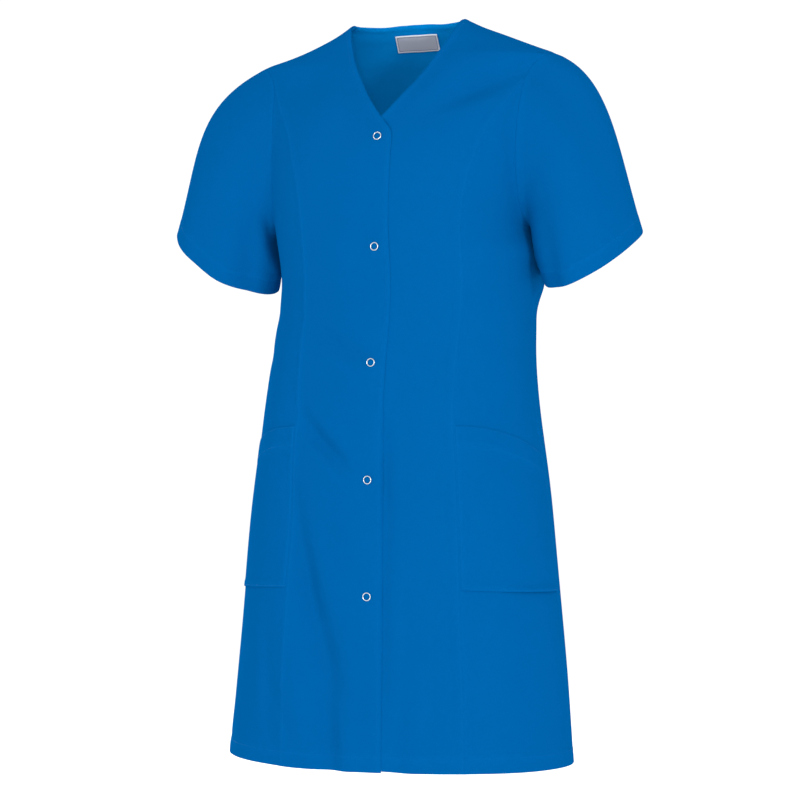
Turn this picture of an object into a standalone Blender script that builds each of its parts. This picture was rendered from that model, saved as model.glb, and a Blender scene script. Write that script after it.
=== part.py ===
"""Work tunic: a short-sleeved, collarless tunic that closes down the front with ring snaps.

Metres, +Z up. The garment keeps the hollow form that its wearer gives it. It faces -Y, the wearer's left is at +X,
and the origin is in the middle of the neck opening, at the height of the inner ends of the shoulder seams.
An angle runs round the body: 0 at the centre front, 90 degrees at the wearer's left side, 180 at the centre back.
"""
from bisect import bisect_right
from collections import namedtuple
from math import acos, atan2, copysign, cos, exp, hypot, pi, radians, sin

import bmesh
import bpy
from mathutils import Vector

# Cloth and trim
CLOTH = 0.0015            # thickness of a cloth wall
LABEL_CLOTH = 0.0010      # thickness of the neck label
SEAM_GAP = 0.0004         # between two pieces that are sewn together
TOUCH_GAP = 0.0003        # between a small part and the cloth that it sits on
LAYER_GAP = 0.0032        # between the two fronts where they overlap, filled by the snaps

# Body
SQUARENESS = 2.15         # exponent of the body's oval sections, 2 is an ellipse
HEM = -0.920
HEM_LEAN = 0.018          # rise of the hem to the wearer's left, per metre
HEM_SIDE_RISE = 0.0045    # of the hem's corner at the wearer's right side
NECK_TOP = 0.004
BACK_NECK_RISE = 0.0025   # of the back neck above the ends of the shoulder seams
BACK_NECK_REACH = 0.150   # height below the neck over which that rise fades
SHOULDER_LEAN = 0.003     # rise of the left shoulder's middle and fall of the right one's
SHOULDER_REACH = 0.100    # height below the neck over which that fades
SHOULDER_TIP = -0.046
UNDERARM = -0.262
ARMHOLE_FRONT = radians(17)   # how far the armhole cuts into the front
ARMHOLE_BACK = radians(10)
ARMHOLE_ROUND = 0.8           # below 1 makes the armhole fuller near its ends

# Front closing
OVERLAP = 0.018           # of each front past the centre line
NECK_DEPTH = 0.130        # of the V neck, from its top to where its edges meet
NECK_BOW = 0.55           # share of the V's run that is curved, so that it widens faster near the bottom
LAYER_FROM = 0.060        # distance from the centre line where the two fronts begin to part
LAYER_TO = 0.026
SNAP_HEIGHTS = (-0.153, -0.288, -0.428, -0.569, -0.709)
SNAP_RING = 0.0046        # radius of a ring's middle line
SNAP_WIRE = 0.0008
SNAP_GAP = 0.0006         # between a snap's parts and the cloth that they clip into
SNAP_POST = 0.0042        # radius of the socket and stud between the fronts

# Pockets: heights of the mouth and the bottom, at the panel seam and at the side seam
POCKET_INSET = 0.0012
POCKET_MOUTH_INNER = -0.504
POCKET_MOUTH_OUTER = -0.544
POCKET_MOUTH_BEND = 2.2
POCKET_BOTTOM_INNER = -0.701
POCKET_BOTTOM_OUTER = -0.708
POCKET_GAPE = 0.0022

# Neck label
LABEL_WIDTH = 0.057
LABEL_TOP = -0.0075
LABEL_LOW = -0.0270
LABEL_SHIFT = -0.003      # of its middle, to the wearer's right

# Mesh steps
BODY_ROWS = 24
ARMHOLE_ROWS = 12         # also half the number of points round a sleeve
PANEL_SEAM_ROW = 3        # the armhole's row, from the shoulder tip, where the panel seam starts
PANEL_SEAM_TAPER = 0.003  # drop from there to the side panel's top edge
CENTRE_COLUMNS = 7
SIDE_COLUMNS = 6
BACK_COLUMNS = 24
SLEEVE_ALONG = 9
POCKET_ROWS = 8
SHOULDER_HEIGHTS = (-0.037, -0.029, -0.021, -0.014, -0.008, -0.003, 0.001, 0.0036)

Section = namedtuple("Section", "height half_width front back sway")
SECTIONS = [Section(*row) for row in (
    # height, half width, front, back, sway
    (0.004, 0.073, -0.012, 0.044, 0.000),
    (0.000, 0.080, -0.014, 0.046, 0.000),
    (-0.010, 0.098, -0.019, 0.051, 0.000),
    (-0.020, 0.122, -0.024, 0.058, 0.000),
    (-0.032, 0.153, -0.030, 0.064, 0.000),
    (-0.042, 0.183, -0.036, 0.068, 0.000),
    (-0.046, 0.197, -0.039, 0.070, 0.000),
    (-0.080, 0.193, -0.060, 0.082, 0.000),
    (-0.116, 0.187, -0.084, 0.091, 0.000),
    (-0.165, 0.179, -0.102, 0.097, 0.000),
    (-0.235, 0.170, -0.112, 0.099, 0.000),
    (-0.285, 0.164, -0.117, 0.097, 0.003),
    (-0.330, 0.161, -0.120, 0.094, 0.007),
    (-0.365, 0.165, -0.123, 0.091, 0.007),
    (-0.420, 0.169, -0.127, 0.090, 0.003),
    (-0.500, 0.178, -0.131, 0.094, 0.000),
    (-0.600, 0.1915, -0.133, 0.099, 0.000),
    (-0.700, 0.2025, -0.134, 0.098, 0.000),
    (-0.800, 0.212, -0.135, 0.096, 0.000),
    (-0.930, 0.223, -0.136, 0.094, 0.000),
)]

SeamPoint = namedtuple("SeamPoint", "height reach")
PANEL_SEAM = [SeamPoint(*row) for row in (
    # height, distance from the centre line
    (-0.105, 0.152),
    (-0.145, 0.130),
    (-0.175, 0.120),
    (-0.210, 0.110),
    (-0.272, 0.103),
    (-0.350, 0.1025),
    (-0.474, 0.1015),
    (-0.596, 0.107),
    (-0.700, 0.111),
    (-0.820, 0.116),
    (-0.930, 0.119),
)]

Fold = namedtuple("Fold", "top_angle top_height low_angle low_height width rise")
FOLDS = [Fold(*row) for row in (
    # angles in degrees; width is the half width of the fold, a rise below 0 is a trough
    (33, -0.122, 60, -0.092, 0.016, -0.005),
    (60, -0.092, 84, -0.056, 0.016, -0.004),
    (28, -0.100, 58, -0.058, 0.016, 0.004),
    (84, -0.320, 112, -0.332, 0.026, 0.014),
    (-52, -0.369, -12, -0.419, 0.014, -0.004),
    (-42, -0.495, -13, -0.549, 0.016, -0.006),
    (-46, -0.600, -29, -0.712, 0.017, -0.006),
    (-29, -0.712, -18, -0.935, 0.019, -0.008),
    (-48, -0.700, -42, -0.900, 0.020, 0.004),
    (78, -0.740, 79, -0.935, 0.022, -0.005),
    (24, -0.700, 18, -0.935, 0.018, -0.003),
    (142, -0.600, 146, -0.935, 0.024, -0.008),
    (-138, -0.640, -143, -0.935, 0.024, -0.007),
    (180, -0.560, 176, -0.935, 0.028, 0.006),
    (-88, -0.895, -90, -0.940, 0.022, 0.005),
    (112, -0.700, 116, -0.935, 0.022, 0.005),
    (-110, -0.680, -114, -0.935, 0.022, 0.005),
    (128, -0.330, 160, -0.400, 0.018, -0.005),
    (-124, -0.340, -158, -0.412, 0.018, -0.006),
)]

Cuff = namedtuple("Cuff", "reach depth height half_width half_depth rise tilt")
CUFFS = {
    # centre of the cuff, then its half sizes across the arm and from front to back; the rise, in degrees,
    # is how far its outer end lies above its inner end and the tilt how far its front lies below its back
    "left": Cuff(0.246, -0.008, -0.301, 0.066, 0.073, 24.5, 24.0),
    "right": Cuff(0.241, -0.008, -0.294, 0.080, 0.057, 29.5, 23.0),
}
CUFF_POINT = 1.22             # above 1 the cuff is narrower towards its outer and inner ends
ARM_LEAN = radians(17.5)      # of the sleeve's lower part, from straight down

Pull = namedtuple("Pull", "top middle low")
SLEEVE_START = {
    # how far the sleeve keeps its first direction
    "left": Pull(0.072, 0.045, 0.014),
    "right": Pull(0.113, 0.059, 0.014),
}
SLEEVE_END = Pull(0.107, 0.073, 0.032)      # how far it keeps its last one
SLEEVE_DROP = 0.415                         # slope of the sleeve as it leaves the shoulder
SLEEVE_OFFSET = CLOTH / 2 + SEAM_GAP        # of the sleeve's first ring from the armhole's edge

SleeveFold = namedtuple("SleeveFold", "side start_around start_along end_around end_along width rise")
SLEEVE_FOLDS = [SleeveFold(*row) for row in (
    # around: 0 on top, 90 at the front, 180 under the arm; along: 0 at the armhole, 1 at the cuff
    ("left", 112, 0.45, 124, 1.05, 0.014, -0.005),
    ("left", 60, 0.70, 66, 1.05, 0.018, 0.003),
    ("left", 236, 0.35, 244, 1.05, 0.016, -0.005),
    ("right", 58, 0.55, 70, 1.05, 0.016, -0.003),
    ("right", 120, 0.40, 130, 1.05, 0.015, -0.005),
    ("right", 230, 0.40, 238, 1.05, 0.016, -0.005),
)]
FOLD_RADIUS = 0.150           # turns a fold's angle into a distance round the body
SLEEVE_RADIUS = 0.066
SLEEVE_LENGTH = 0.200

Finish = namedtuple("Finish", "colour roughness metallic")
FINISHES = {
    "cloth": Finish((0.0008, 0.130, 0.425, 1.0), 0.82, 0.0),
    "label": Finish((0.58, 0.60, 0.60, 1.0), 0.70, 0.0),
    "snap": Finish((0.72, 0.74, 0.76, 1.0), 0.28, 1.0),
}


def clear_scene():
    for obj in list(bpy.data.objects):
        bpy.data.objects.remove(obj)


def smooth_through(points):
    """A cubic through (place, value) points that never overshoots them, as a function of place."""
    points = sorted(points)
    places = [place for place, _ in points]
    values = [value for _, value in points]
    steps = [b - a for a, b in zip(places, places[1:])]
    rates = [(b - a) / step for a, b, step in zip(values, values[1:], steps)]
    slopes = [rates[0]]
    for before, after, step, following in zip(rates, rates[1:], steps, steps[1:]):
        if before * after <= 0:
            slopes.append(0.0)
            continue
        near = 2 * following + step
        far = following + 2 * step
        slopes.append((near + far) / (near / before + far / after))
    slopes.append(rates[-1])

    def value_at(place):
        place = min(max(place, places[0]), places[-1])
        i = min(bisect_right(places, place) - 1, len(steps) - 1)
        t = (place - places[i]) / steps[i]
        start = (2 * t + 1) * (1 - t) ** 2 * values[i] + t * (1 - t) ** 2 * steps[i] * slopes[i]
        end = t * t * (3 - 2 * t) * values[i + 1] - t * t * (1 - t) * steps[i] * slopes[i + 1]
        return start + end

    return value_at


half_width = smooth_through([(s.height, s.half_width) for s in SECTIONS])
front_depth = smooth_through([(s.height, s.front) for s in SECTIONS])
back_depth = smooth_through([(s.height, s.back) for s in SECTIONS])
sway = smooth_through([(s.height, s.sway) for s in SECTIONS])
NECK_HALF_WIDTH = half_width(NECK_TOP)
SHOULDER_HALF_WIDTH = half_width(SHOULDER_TIP)


def mix(a, b, t):
    return a + (b - a) * t


def ease(t):
    """0 to 1 with soft ends."""
    t = min(max(t, 0.0), 1.0)
    return t * t * (3 - 2 * t)


def section_middle(height):
    return (front_depth(height) + back_depth(height)) / 2


def section_half_depth(height):
    return (back_depth(height) - front_depth(height)) / 2


def radius(angle, height):
    across = abs(sin(angle)) / half_width(height)
    along = abs(cos(angle)) / section_half_depth(height)
    return (across ** SQUARENESS + along ** SQUARENESS) ** (-1 / SQUARENESS)


def fade(height, reach):
    """1 at the neck, 0 from a reach below it."""
    return min(max(1 + (height - NECK_TOP) / reach, 0.0), 1.0)


def body_point(angle, height):
    """A point of the body's smooth form, without its folds."""
    r = radius(angle, height)
    x = r * sin(angle) + sway(height)
    y = section_middle(height) - r * cos(angle)
    lean = HEM_LEAN * x * (height / HEM) ** 2
    lean += HEM_SIDE_RISE * max(-sin(angle), 0.0) ** 6 * (height / HEM) ** 12
    along = (abs(x) - NECK_HALF_WIDTH) / (SHOULDER_HALF_WIDTH - NECK_HALF_WIDTH)
    arch = copysign(sin(pi * min(max(along, 0.0), 1.0)), x)
    lean += SHOULDER_LEAN * arch * fade(height, SHOULDER_REACH)
    behind = max(-cos(angle), 0.0) ** 2
    return Vector((x, y, height + lean + BACK_NECK_RISE * behind * fade(height, BACK_NECK_REACH) ** 2))


def body_normal(angle, height):
    turn = 0.01
    drop = 0.001
    round_the_body = body_point(angle + turn, height) - body_point(angle - turn, height)
    up = body_point(angle, height + drop / 2) - body_point(angle, height - drop / 2)
    return round_the_body.cross(up).normalized()


def angle_at(x, height):
    """The angle of the front's point at a distance x from the centre line."""
    share = min(abs(x) / half_width(height), 1.0)
    forward = section_half_depth(height) * (1 - share ** SQUARENESS) ** (1 / SQUARENESS)
    return atan2(x, forward)


def ridge(u, v, start, end, width, rise):
    """Height of a soft ridge along the line from start to end, fading at both ends."""
    along_u = end[0] - start[0]
    along_v = end[1] - start[1]
    length = hypot(along_u, along_v)
    t = ((u - start[0]) * along_u + (v - start[1]) * along_v) / length ** 2
    off = ((u - start[0]) * along_v - (v - start[1]) * along_u) / length
    beyond = max(-t, t - 1, 0.0) * length
    inside = min(max(t, 0.0), 1.0)
    crest = 0.45 + 0.55 * sin(pi * inside)
    return rise * crest * exp(-(off ** 2 + beyond ** 2) / width ** 2)


def fold_height(angle, height):
    total = 0.0
    for fold in FOLDS:
        start = (radians(fold.top_angle) * FOLD_RADIUS, fold.top_height)
        end = (radians(fold.low_angle) * FOLD_RADIUS, fold.low_height)
        for turn in (-2 * pi, 0.0, 2 * pi):
            total += ridge((angle + turn) * FOLD_RADIUS, height, start, end, fold.width, fold.rise)
    return total


def cloth_point(angle, height, lift=0.0):
    """A point of the folded cloth's middle surface, moved out by lift."""
    return body_point(angle, height) + body_normal(angle, height) * (fold_height(angle, height) + lift)


def armhole_height(turn):
    """The height of a place round the armhole: a turn of 0 at the shoulder tip, pi at the underarm."""
    return SHOULDER_TIP + (UNDERARM - SHOULDER_TIP) * (1 - cos(turn)) / 2


def armhole_turn(height):
    """The opposite of armhole_height."""
    share = (SHOULDER_TIP - height) / (SHOULDER_TIP - UNDERARM)
    return acos(1 - 2 * min(max(share, 0.0), 1.0))


def armhole_angle(turn, behind):
    cut = ARMHOLE_BACK if behind else -ARMHOLE_FRONT
    return pi / 2 + cut * abs(sin(turn)) ** ARMHOLE_ROUND


def outer_angle(height, behind):
    """Where a panel ends at its outer side: shoulder seam, armhole or side seam."""
    if UNDERARM < height < SHOULDER_TIP:
        return armhole_angle(armhole_turn(height), behind)
    return pi / 2


PANEL_SEAM_TOP = armhole_height(pi * PANEL_SEAM_ROW / ARMHOLE_ROWS)
PANEL_SEAM_TOP_ANGLE = outer_angle(PANEL_SEAM_TOP, behind=False)
PANEL_SEAM_TOP_REACH = radius(PANEL_SEAM_TOP_ANGLE, PANEL_SEAM_TOP) * sin(PANEL_SEAM_TOP_ANGLE)
panel_seam_reach = smooth_through(
    [(PANEL_SEAM_TOP, PANEL_SEAM_TOP_REACH)] + [(point.height, point.reach) for point in PANEL_SEAM])


def centre_edge_angle(height):
    """The front's free edge: the V neck above, the overlapping edge below."""
    drop = (NECK_TOP - height) / NECK_DEPTH
    x = half_width(NECK_TOP) * (1 - mix(drop, drop ** 2, NECK_BOW))
    return angle_at(max(x, -OVERLAP), height)


def panel_seam_angle(height):
    if height >= PANEL_SEAM_TOP:
        return outer_angle(height, behind=False)
    return angle_at(panel_seam_reach(height), height)


def body_heights():
    """Heights of the panels' rows, closer together at both ends of the armhole."""
    below = [mix(HEM, UNDERARM, i / BODY_ROWS) for i in range(BODY_ROWS)]
    armhole = [armhole_height(pi * i / ARMHOLE_ROWS) for i in range(ARMHOLE_ROWS + 1)]
    return sorted(below + armhole + [PANEL_SEAM_TOP - PANEL_SEAM_TAPER] + list(SHOULDER_HEIGHTS))


def make_material(slot):
    finish = FINISHES[slot]
    material = bpy.data.materials.new(slot)
    material.use_nodes = True
    shader = material.node_tree.nodes["Principled BSDF"]
    shader.inputs["Base Color"].default_value = finish.colour
    shader.inputs["Roughness"].default_value = finish.roughness
    shader.inputs["Metallic"].default_value = finish.metallic
    return material


def loft(form, rows, closed):
    """Vertices and faces through rows of points; a closed loft joins each row's last point to its first."""
    grid = [[form.verts.new(point) for point in row] for row in rows]
    for low, high in zip(grid, grid[1:]):
        for j in range(len(low) if closed else len(low) - 1):
            k = (j + 1) % len(low)
            form.faces.new((low[j], low[k], high[k], high[j]))
    return grid


def free_edges(grid, closed):
    """The rings of vertices along a loft's free edges."""
    if closed:
        return [grid[0], grid[-1]]
    last_column = [row[-1] for row in grid[1:-1]]
    first_column = [row[0] for row in grid[1:-1]]
    return [grid[0] + last_column + grid[-1][::-1] + first_column[::-1]]


def cloth_wall(name, outer, inner, material, collection, closed=False):
    """A wall of cloth between two lofted surfaces, with strips that join their free edges."""
    form = bmesh.new()
    outer_grid = loft(form, outer, closed)
    inner_grid = loft(form, inner, closed)
    for out, back in zip(free_edges(outer_grid, closed), free_edges(inner_grid, closed)):
        for j in range(len(out)):
            k = (j + 1) % len(out)
            form.faces.new((out[j], out[k], back[k], back[j]))
    bmesh.ops.recalc_face_normals(form, faces=form.faces)
    mesh = bpy.data.meshes.new(name)
    form.to_mesh(mesh)
    form.free()
    mesh.shade_smooth()
    mesh.set_sharp_from_angle(angle=radians(50))
    obj = bpy.data.objects.new(name, mesh)
    obj.data.materials.append(material)
    collection.objects.link(obj)
    return obj


def body_piece(name, places, material, collection, thickness=CLOTH):
    """A wall of cloth on the body, through rows of places: an angle, a height and how far it stands off."""
    outer = [[cloth_point(angle, height, lift + thickness / 2) for angle, height, lift in row] for row in places]
    inner = [[cloth_point(angle, height, lift - thickness / 2) for angle, height, lift in row] for row in places]
    return cloth_wall(name, outer, inner, material, collection)


def inset(angle, height, distance):
    """An angle moved by a distance along its row."""
    return angle + distance / radius(angle, height)


def layer_lift(side, x):
    """How far a front stands off the common surface near the closing: the right one out, the left one in."""
    share = ease((LAYER_FROM - side * x) / (LAYER_FROM - LAYER_TO))
    return -side * share * (CLOTH + LAYER_GAP) / 2


def front_row(side, height, start, end, columns):
    """A row of a front from the centre outwards; side is 1 for the wearer's left and -1 for the right."""
    row = []
    for i in range(columns + 1):
        angle = side * mix(start, end, i / columns)
        row.append((angle, height, layer_lift(side, body_point(angle, height).x)))
    return row


def front_centre(name, side, material, collection):
    rows = []
    for height in body_heights():
        start = centre_edge_angle(height)
        end = inset(panel_seam_angle(height), height, -SEAM_GAP / 2)
        rows.append(front_row(side, height, start, end, CENTRE_COLUMNS))
    return body_piece(name, rows, material, collection)


def front_side(name, side, material, collection):
    rows = []
    for height in [h for h in body_heights() if h <= PANEL_SEAM_TOP - PANEL_SEAM_TAPER]:
        start = inset(panel_seam_angle(height), height, SEAM_GAP / 2)
        end = inset(outer_angle(height, behind=False), height, -SEAM_GAP / 2)
        rows.append(front_row(side, height, start, end, SIDE_COLUMNS))
    return body_piece(name, rows, material, collection)


def back_piece(name, material, collection):
    rows = []
    for height in body_heights():
        start = inset(outer_angle(height, behind=True), height, SEAM_GAP / 2)
        rows.append([
            (mix(start, 2 * pi - start, i / BACK_COLUMNS), height, 0.0)
            for i in range(BACK_COLUMNS + 1)
        ])
    return body_piece(name, rows, material, collection)


def armhole_loop():
    """The left armhole's points, from the shoulder tip down the front and up the back."""
    turns = [pi * i / ARMHOLE_ROWS for i in range(2 * ARMHOLE_ROWS)]
    return [(turn, armhole_angle(turn, behind=turn > pi), armhole_height(turn)) for turn in turns]


def armhole_edge(angle, height, before, after, middle):
    """A point just inside the armhole, off the panel's edge, in line with the cloth."""
    point = cloth_point(angle, height)
    inward = (after - before).cross(body_normal(angle, height)).normalized()
    if inward.dot(middle - point) < 0:
        inward.negate()
    return point + inward * SLEEVE_OFFSET


def pulled(pull, turn):
    """A pull's strength at a place round the sleeve, between its top, middle and low values."""
    share = cos(turn)
    if share > 0:
        return mix(pull.middle, pull.top, share)
    return mix(pull.middle, pull.low, -share)


def sleeve_rows(side_name):
    """Rings of the sleeve from the armhole to the cuff, made for the wearer's left side."""
    cuff = CUFFS[side_name]
    centre = Vector((cuff.reach, cuff.depth, cuff.height))
    rise = radians(cuff.rise)
    tilt = radians(cuff.tilt)
    across = Vector((cos(rise), 0, sin(rise))) * cuff.half_width
    forward = Vector((0, -cos(tilt), -sin(tilt))) * cuff.half_depth
    arm = Vector((sin(ARM_LEAN), 0, -cos(ARM_LEAN)))
    loop = armhole_loop()
    points = [cloth_point(angle, height) for _, angle, height in loop]
    middle = sum(points, Vector()) / len(points)
    curves = []
    for i, (turn, angle, height) in enumerate(loop):
        start = armhole_edge(angle, height, points[i - 1], points[(i + 1) % len(points)], middle)
        end = centre + across * cos(turn) + forward * copysign(abs(sin(turn)) ** CUFF_POINT, sin(turn))
        leave = Vector((1, 0, -SLEEVE_DROP * max(cos(turn), -0.2))).normalized()
        curves.append((
            start,
            start + leave * pulled(SLEEVE_START[side_name], turn),
            end - arm * pulled(SLEEVE_END, turn),
            end,
        ))
    return [[bezier(curve, k / SLEEVE_ALONG) for curve in curves] for k in range(SLEEVE_ALONG + 1)]


def bezier(curve, t):
    a, b, c, d = curve
    return a * (1 - t) ** 3 + b * 3 * t * (1 - t) ** 2 + c * 3 * t * t * (1 - t) + d * t ** 3


def fold_sleeve(side_name, rows):
    """Moves a sleeve's points out or in along its folds."""
    folded = []
    for k, row in enumerate(rows):
        centre = sum(row, Vector()) / len(row)
        along = k / SLEEVE_ALONG
        new_row = []
        for i, point in enumerate(row):
            around = pi * i / ARMHOLE_ROWS
            rise = 0.0
            for fold in [f for f in SLEEVE_FOLDS if f.side == side_name]:
                start = (radians(fold.start_around) * SLEEVE_RADIUS, fold.start_along * SLEEVE_LENGTH)
                end = (radians(fold.end_around) * SLEEVE_RADIUS, fold.end_along * SLEEVE_LENGTH)
                place = (around * SLEEVE_RADIUS, along * SLEEVE_LENGTH)
                rise += ridge(*place, start, end, fold.width, fold.rise)
            new_row.append(point + (point - centre).normalized() * rise * ease(along * 3))
        folded.append(new_row)
    return folded


def tube_normals(rows):
    """Outward directions at the points of a tube's rings."""
    normals = []
    for k, row in enumerate(rows):
        before = rows[max(k - 1, 0)]
        after = rows[min(k + 1, len(rows) - 1)]
        normals.append([
            (row[(i + 1) % len(row)] - row[i - 1]).cross(before[i] - after[i]).normalized()
            for i in range(len(row))
        ])
    return normals


def sleeve(name, side_name, material, collection):
    rows = fold_sleeve(side_name, sleeve_rows(side_name))
    walls = []
    for lift in (CLOTH / 2, -CLOTH / 2):
        wall = [[point + normal * lift for point, normal in zip(*pair)] for pair in zip(rows, tube_normals(rows))]
        if side_name == "right":
            wall = [[Vector((-point.x, point.y, point.z)) for point in row] for row in wall]
        walls.append(wall)
    return cloth_wall(name, *walls, material, collection, closed=True)


def pocket_mouth(share):
    return mix(POCKET_MOUTH_INNER, POCKET_MOUTH_OUTER, share ** POCKET_MOUTH_BEND)


def pocket_place(side, share, rise):
    """A place of a pocket; share runs from the panel seam to the side seam, rise from the bottom to the mouth."""
    bottom = mix(POCKET_BOTTOM_INNER, POCKET_BOTTOM_OUTER, share)
    height = mix(bottom, pocket_mouth(share), rise)
    start = inset(panel_seam_angle(height), height, POCKET_INSET)
    end = inset(pi / 2, height, -POCKET_INSET)
    gape = POCKET_GAPE * sin(pi * min(share + 0.12, 1.0)) * rise ** 1.5
    angle = side * mix(start, end, share)
    lift = layer_lift(side, body_point(angle, height).x)
    return angle, height, lift + CLOTH + TOUCH_GAP + gape


def pocket(name, side, material, collection):
    rows = [
        [pocket_place(side, j / SIDE_COLUMNS, i / POCKET_ROWS) for j in range(SIDE_COLUMNS + 1)]
        for i in range(POCKET_ROWS + 1)
    ]
    return body_piece(name, rows, material, collection)


def neck_label(name, material, collection):
    """The label lies on the inside of the back, just below the neck edge."""
    lift = -(CLOTH + LABEL_CLOTH) / 2 - TOUCH_GAP
    rows = []
    for height in (LABEL_LOW, mix(LABEL_LOW, LABEL_TOP, 1 / 3), mix(LABEL_LOW, LABEL_TOP, 2 / 3), LABEL_TOP):
        places = [LABEL_SHIFT + LABEL_WIDTH * (i / 6 - 1 / 2) for i in range(7)]
        rows.append([(pi - angle_at(place, height), height, lift) for place in places])
    return body_piece(name, rows, material, collection, thickness=LABEL_CLOTH)


def snap_frame(height, lift):
    """Place and direction of a snap's part on the centre line, at a distance from the common surface."""
    normal = body_normal(0.0, height)
    return cloth_point(0.0, height, lift), normal.to_track_quat("Z", "Y")


def set_on_front(obj, name, height, lift, material, collection):
    place, turn = snap_frame(height, lift)
    obj.name = name
    obj.data.name = name
    obj.data.materials.clear()
    obj.data.materials.append(material)
    obj.data.shade_smooth()
    obj.data.set_sharp_from_angle(angle=radians(40))
    obj.rotation_mode = "QUATERNION"
    obj.rotation_quaternion = turn
    obj.location = place
    for other in list(obj.users_collection):
        other.objects.unlink(obj)
    collection.objects.link(obj)


def snap(index, height, material, collection):
    """One ring snap: the ring on the right front, the socket between the fronts, the ring inside the left one."""
    layer = (CLOTH + LAYER_GAP) / 2
    off_cloth = layer + CLOTH / 2 + SNAP_GAP + SNAP_WIRE
    for name, lift in (("snap_cap", off_cloth), ("snap_back", -off_cloth)):
        bpy.ops.mesh.primitive_torus_add(
            major_segments=18, minor_segments=6, major_radius=SNAP_RING, minor_radius=SNAP_WIRE)
        set_on_front(bpy.context.object, f"{name}_{index}", height, lift, material, collection)
    bpy.ops.mesh.primitive_cylinder_add(vertices=16, radius=SNAP_POST, depth=LAYER_GAP - 2 * SNAP_GAP)
    set_on_front(bpy.context.object, f"snap_socket_{index}", height, 0.0, material, collection)


def build():
    clear_scene()
    collection = bpy.data.collections.new("work_tunic")
    bpy.context.scene.collection.children.link(collection)
    cloth = make_material("cloth")
    metal = make_material("snap")
    front_centre("front_left_centre", 1, cloth, collection)
    front_centre("front_right_centre", -1, cloth, collection)
    front_side("front_left_side", 1, cloth, collection)
    front_side("front_right_side", -1, cloth, collection)
    back_piece("back", cloth, collection)
    sleeve("sleeve_left", "left", cloth, collection)
    sleeve("sleeve_right", "right", cloth, collection)
    pocket("pocket_left", 1, cloth, collection)
    pocket("pocket_right", -1, cloth, collection)
    neck_label("neck_label", make_material("label"), collection)
    for index, height in enumerate(SNAP_HEIGHTS, start=1):
        snap(index, height, metal, collection)


build()
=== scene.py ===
"""Looks of the work tunic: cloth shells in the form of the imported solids, with creases, hems and sewing.

Metres, +Z up. The garment faces -Y, the wearer's left is at +X, and the origin is in the middle of the neck.
An angle runs round the body: 0 at the centre front, 90 degrees at the wearer's left side, 180 behind.
The body's sections and edges repeat the sizes of the solids, which these shells replace.
"""

from collections import namedtuple
from math import cos, pi, radians, sin

import bpy
import numpy as np
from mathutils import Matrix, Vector


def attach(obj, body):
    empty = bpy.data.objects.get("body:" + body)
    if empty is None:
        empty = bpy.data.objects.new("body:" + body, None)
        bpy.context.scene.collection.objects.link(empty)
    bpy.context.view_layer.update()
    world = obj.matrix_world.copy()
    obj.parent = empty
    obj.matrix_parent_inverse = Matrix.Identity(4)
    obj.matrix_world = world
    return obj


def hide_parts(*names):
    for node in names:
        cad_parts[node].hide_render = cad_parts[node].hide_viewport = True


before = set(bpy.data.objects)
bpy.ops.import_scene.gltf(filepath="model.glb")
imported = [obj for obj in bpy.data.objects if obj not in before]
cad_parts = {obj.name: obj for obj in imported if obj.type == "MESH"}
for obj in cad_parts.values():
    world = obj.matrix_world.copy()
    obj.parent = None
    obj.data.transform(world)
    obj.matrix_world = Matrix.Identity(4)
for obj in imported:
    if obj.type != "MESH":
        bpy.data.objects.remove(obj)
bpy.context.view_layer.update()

SIDE_NAMES = {-1: "right", 1: "left"}
MIRRORS = {"left": np.array((1.0, 1.0, 1.0)), "right": np.array((-1.0, 1.0, 1.0))}

# Cloth, and the bands along its edges, which end at their stitching
HALF_CLOTH = 0.00045  # half the thickness of the shells
HEM_BAND = 0.018
CUFF_BAND = 0.020
MOUTH_BAND = 0.024  # of the pocket's mouth
NECK_STITCH = 0.006
NECK_BAND = 0.0062
SEAM_STITCH = 0.0022  # from a seam to its topstitching
SEAM_BAND = 0.0085
SHOULDER_BAND = 0.0080
SHOULDER_FADE = 0.004
ARMHOLE_BAND = 0.009
POCKET_BOTTOM_BAND = 0.008
POCKET_SIDE_BAND = 0.006
FACING_WIDTH = 0.045  # of the doubled strip along the leading edges
BAND_RISE = 0.00035  # how far a turned band stands out
BAND_INSIDE = 0.0008  # and in
FACING_INSIDE = 0.00048
BAND_FOOT = 0.0012  # where a band falls off, beyond its width
BAND_SLOPE = 0.0014

# Widths over which free edges roll off, and the least share of the thickness left there
HEM_ROLL = 0.0009
NECK_ROLL = 0.0010
EDGE_ROLL = 0.0036
MOUTH_ROLL = 0.0022
POCKET_ROLL = 0.0018
ROLL_LEAST = 0.06
PRESSED = 0.8  # of the inner side at the neck, which lies flat on what is under it

# Seams: their welt outside, their allowances inside, the pull of stitches, and where they pucker the cloth
WELT_RISE = 0.00034
WELT_WIDTH = 0.0028
SEAM_FOOT = 0.0016  # where a panel without allowances rises to meet the doubled one
ALLOWANCE_RISE = 0.00050
ALLOWANCE_WIDTH = 0.0009
STITCH_PULL = 0.00014
STITCH_SPREAD = 0.0009
PUCKER_REACH = 0.0045
SEAM_PUCKER = 0.001
ARMHOLE_PUCKER = 0.002
NECK_PUCKER = 0.0036

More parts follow.
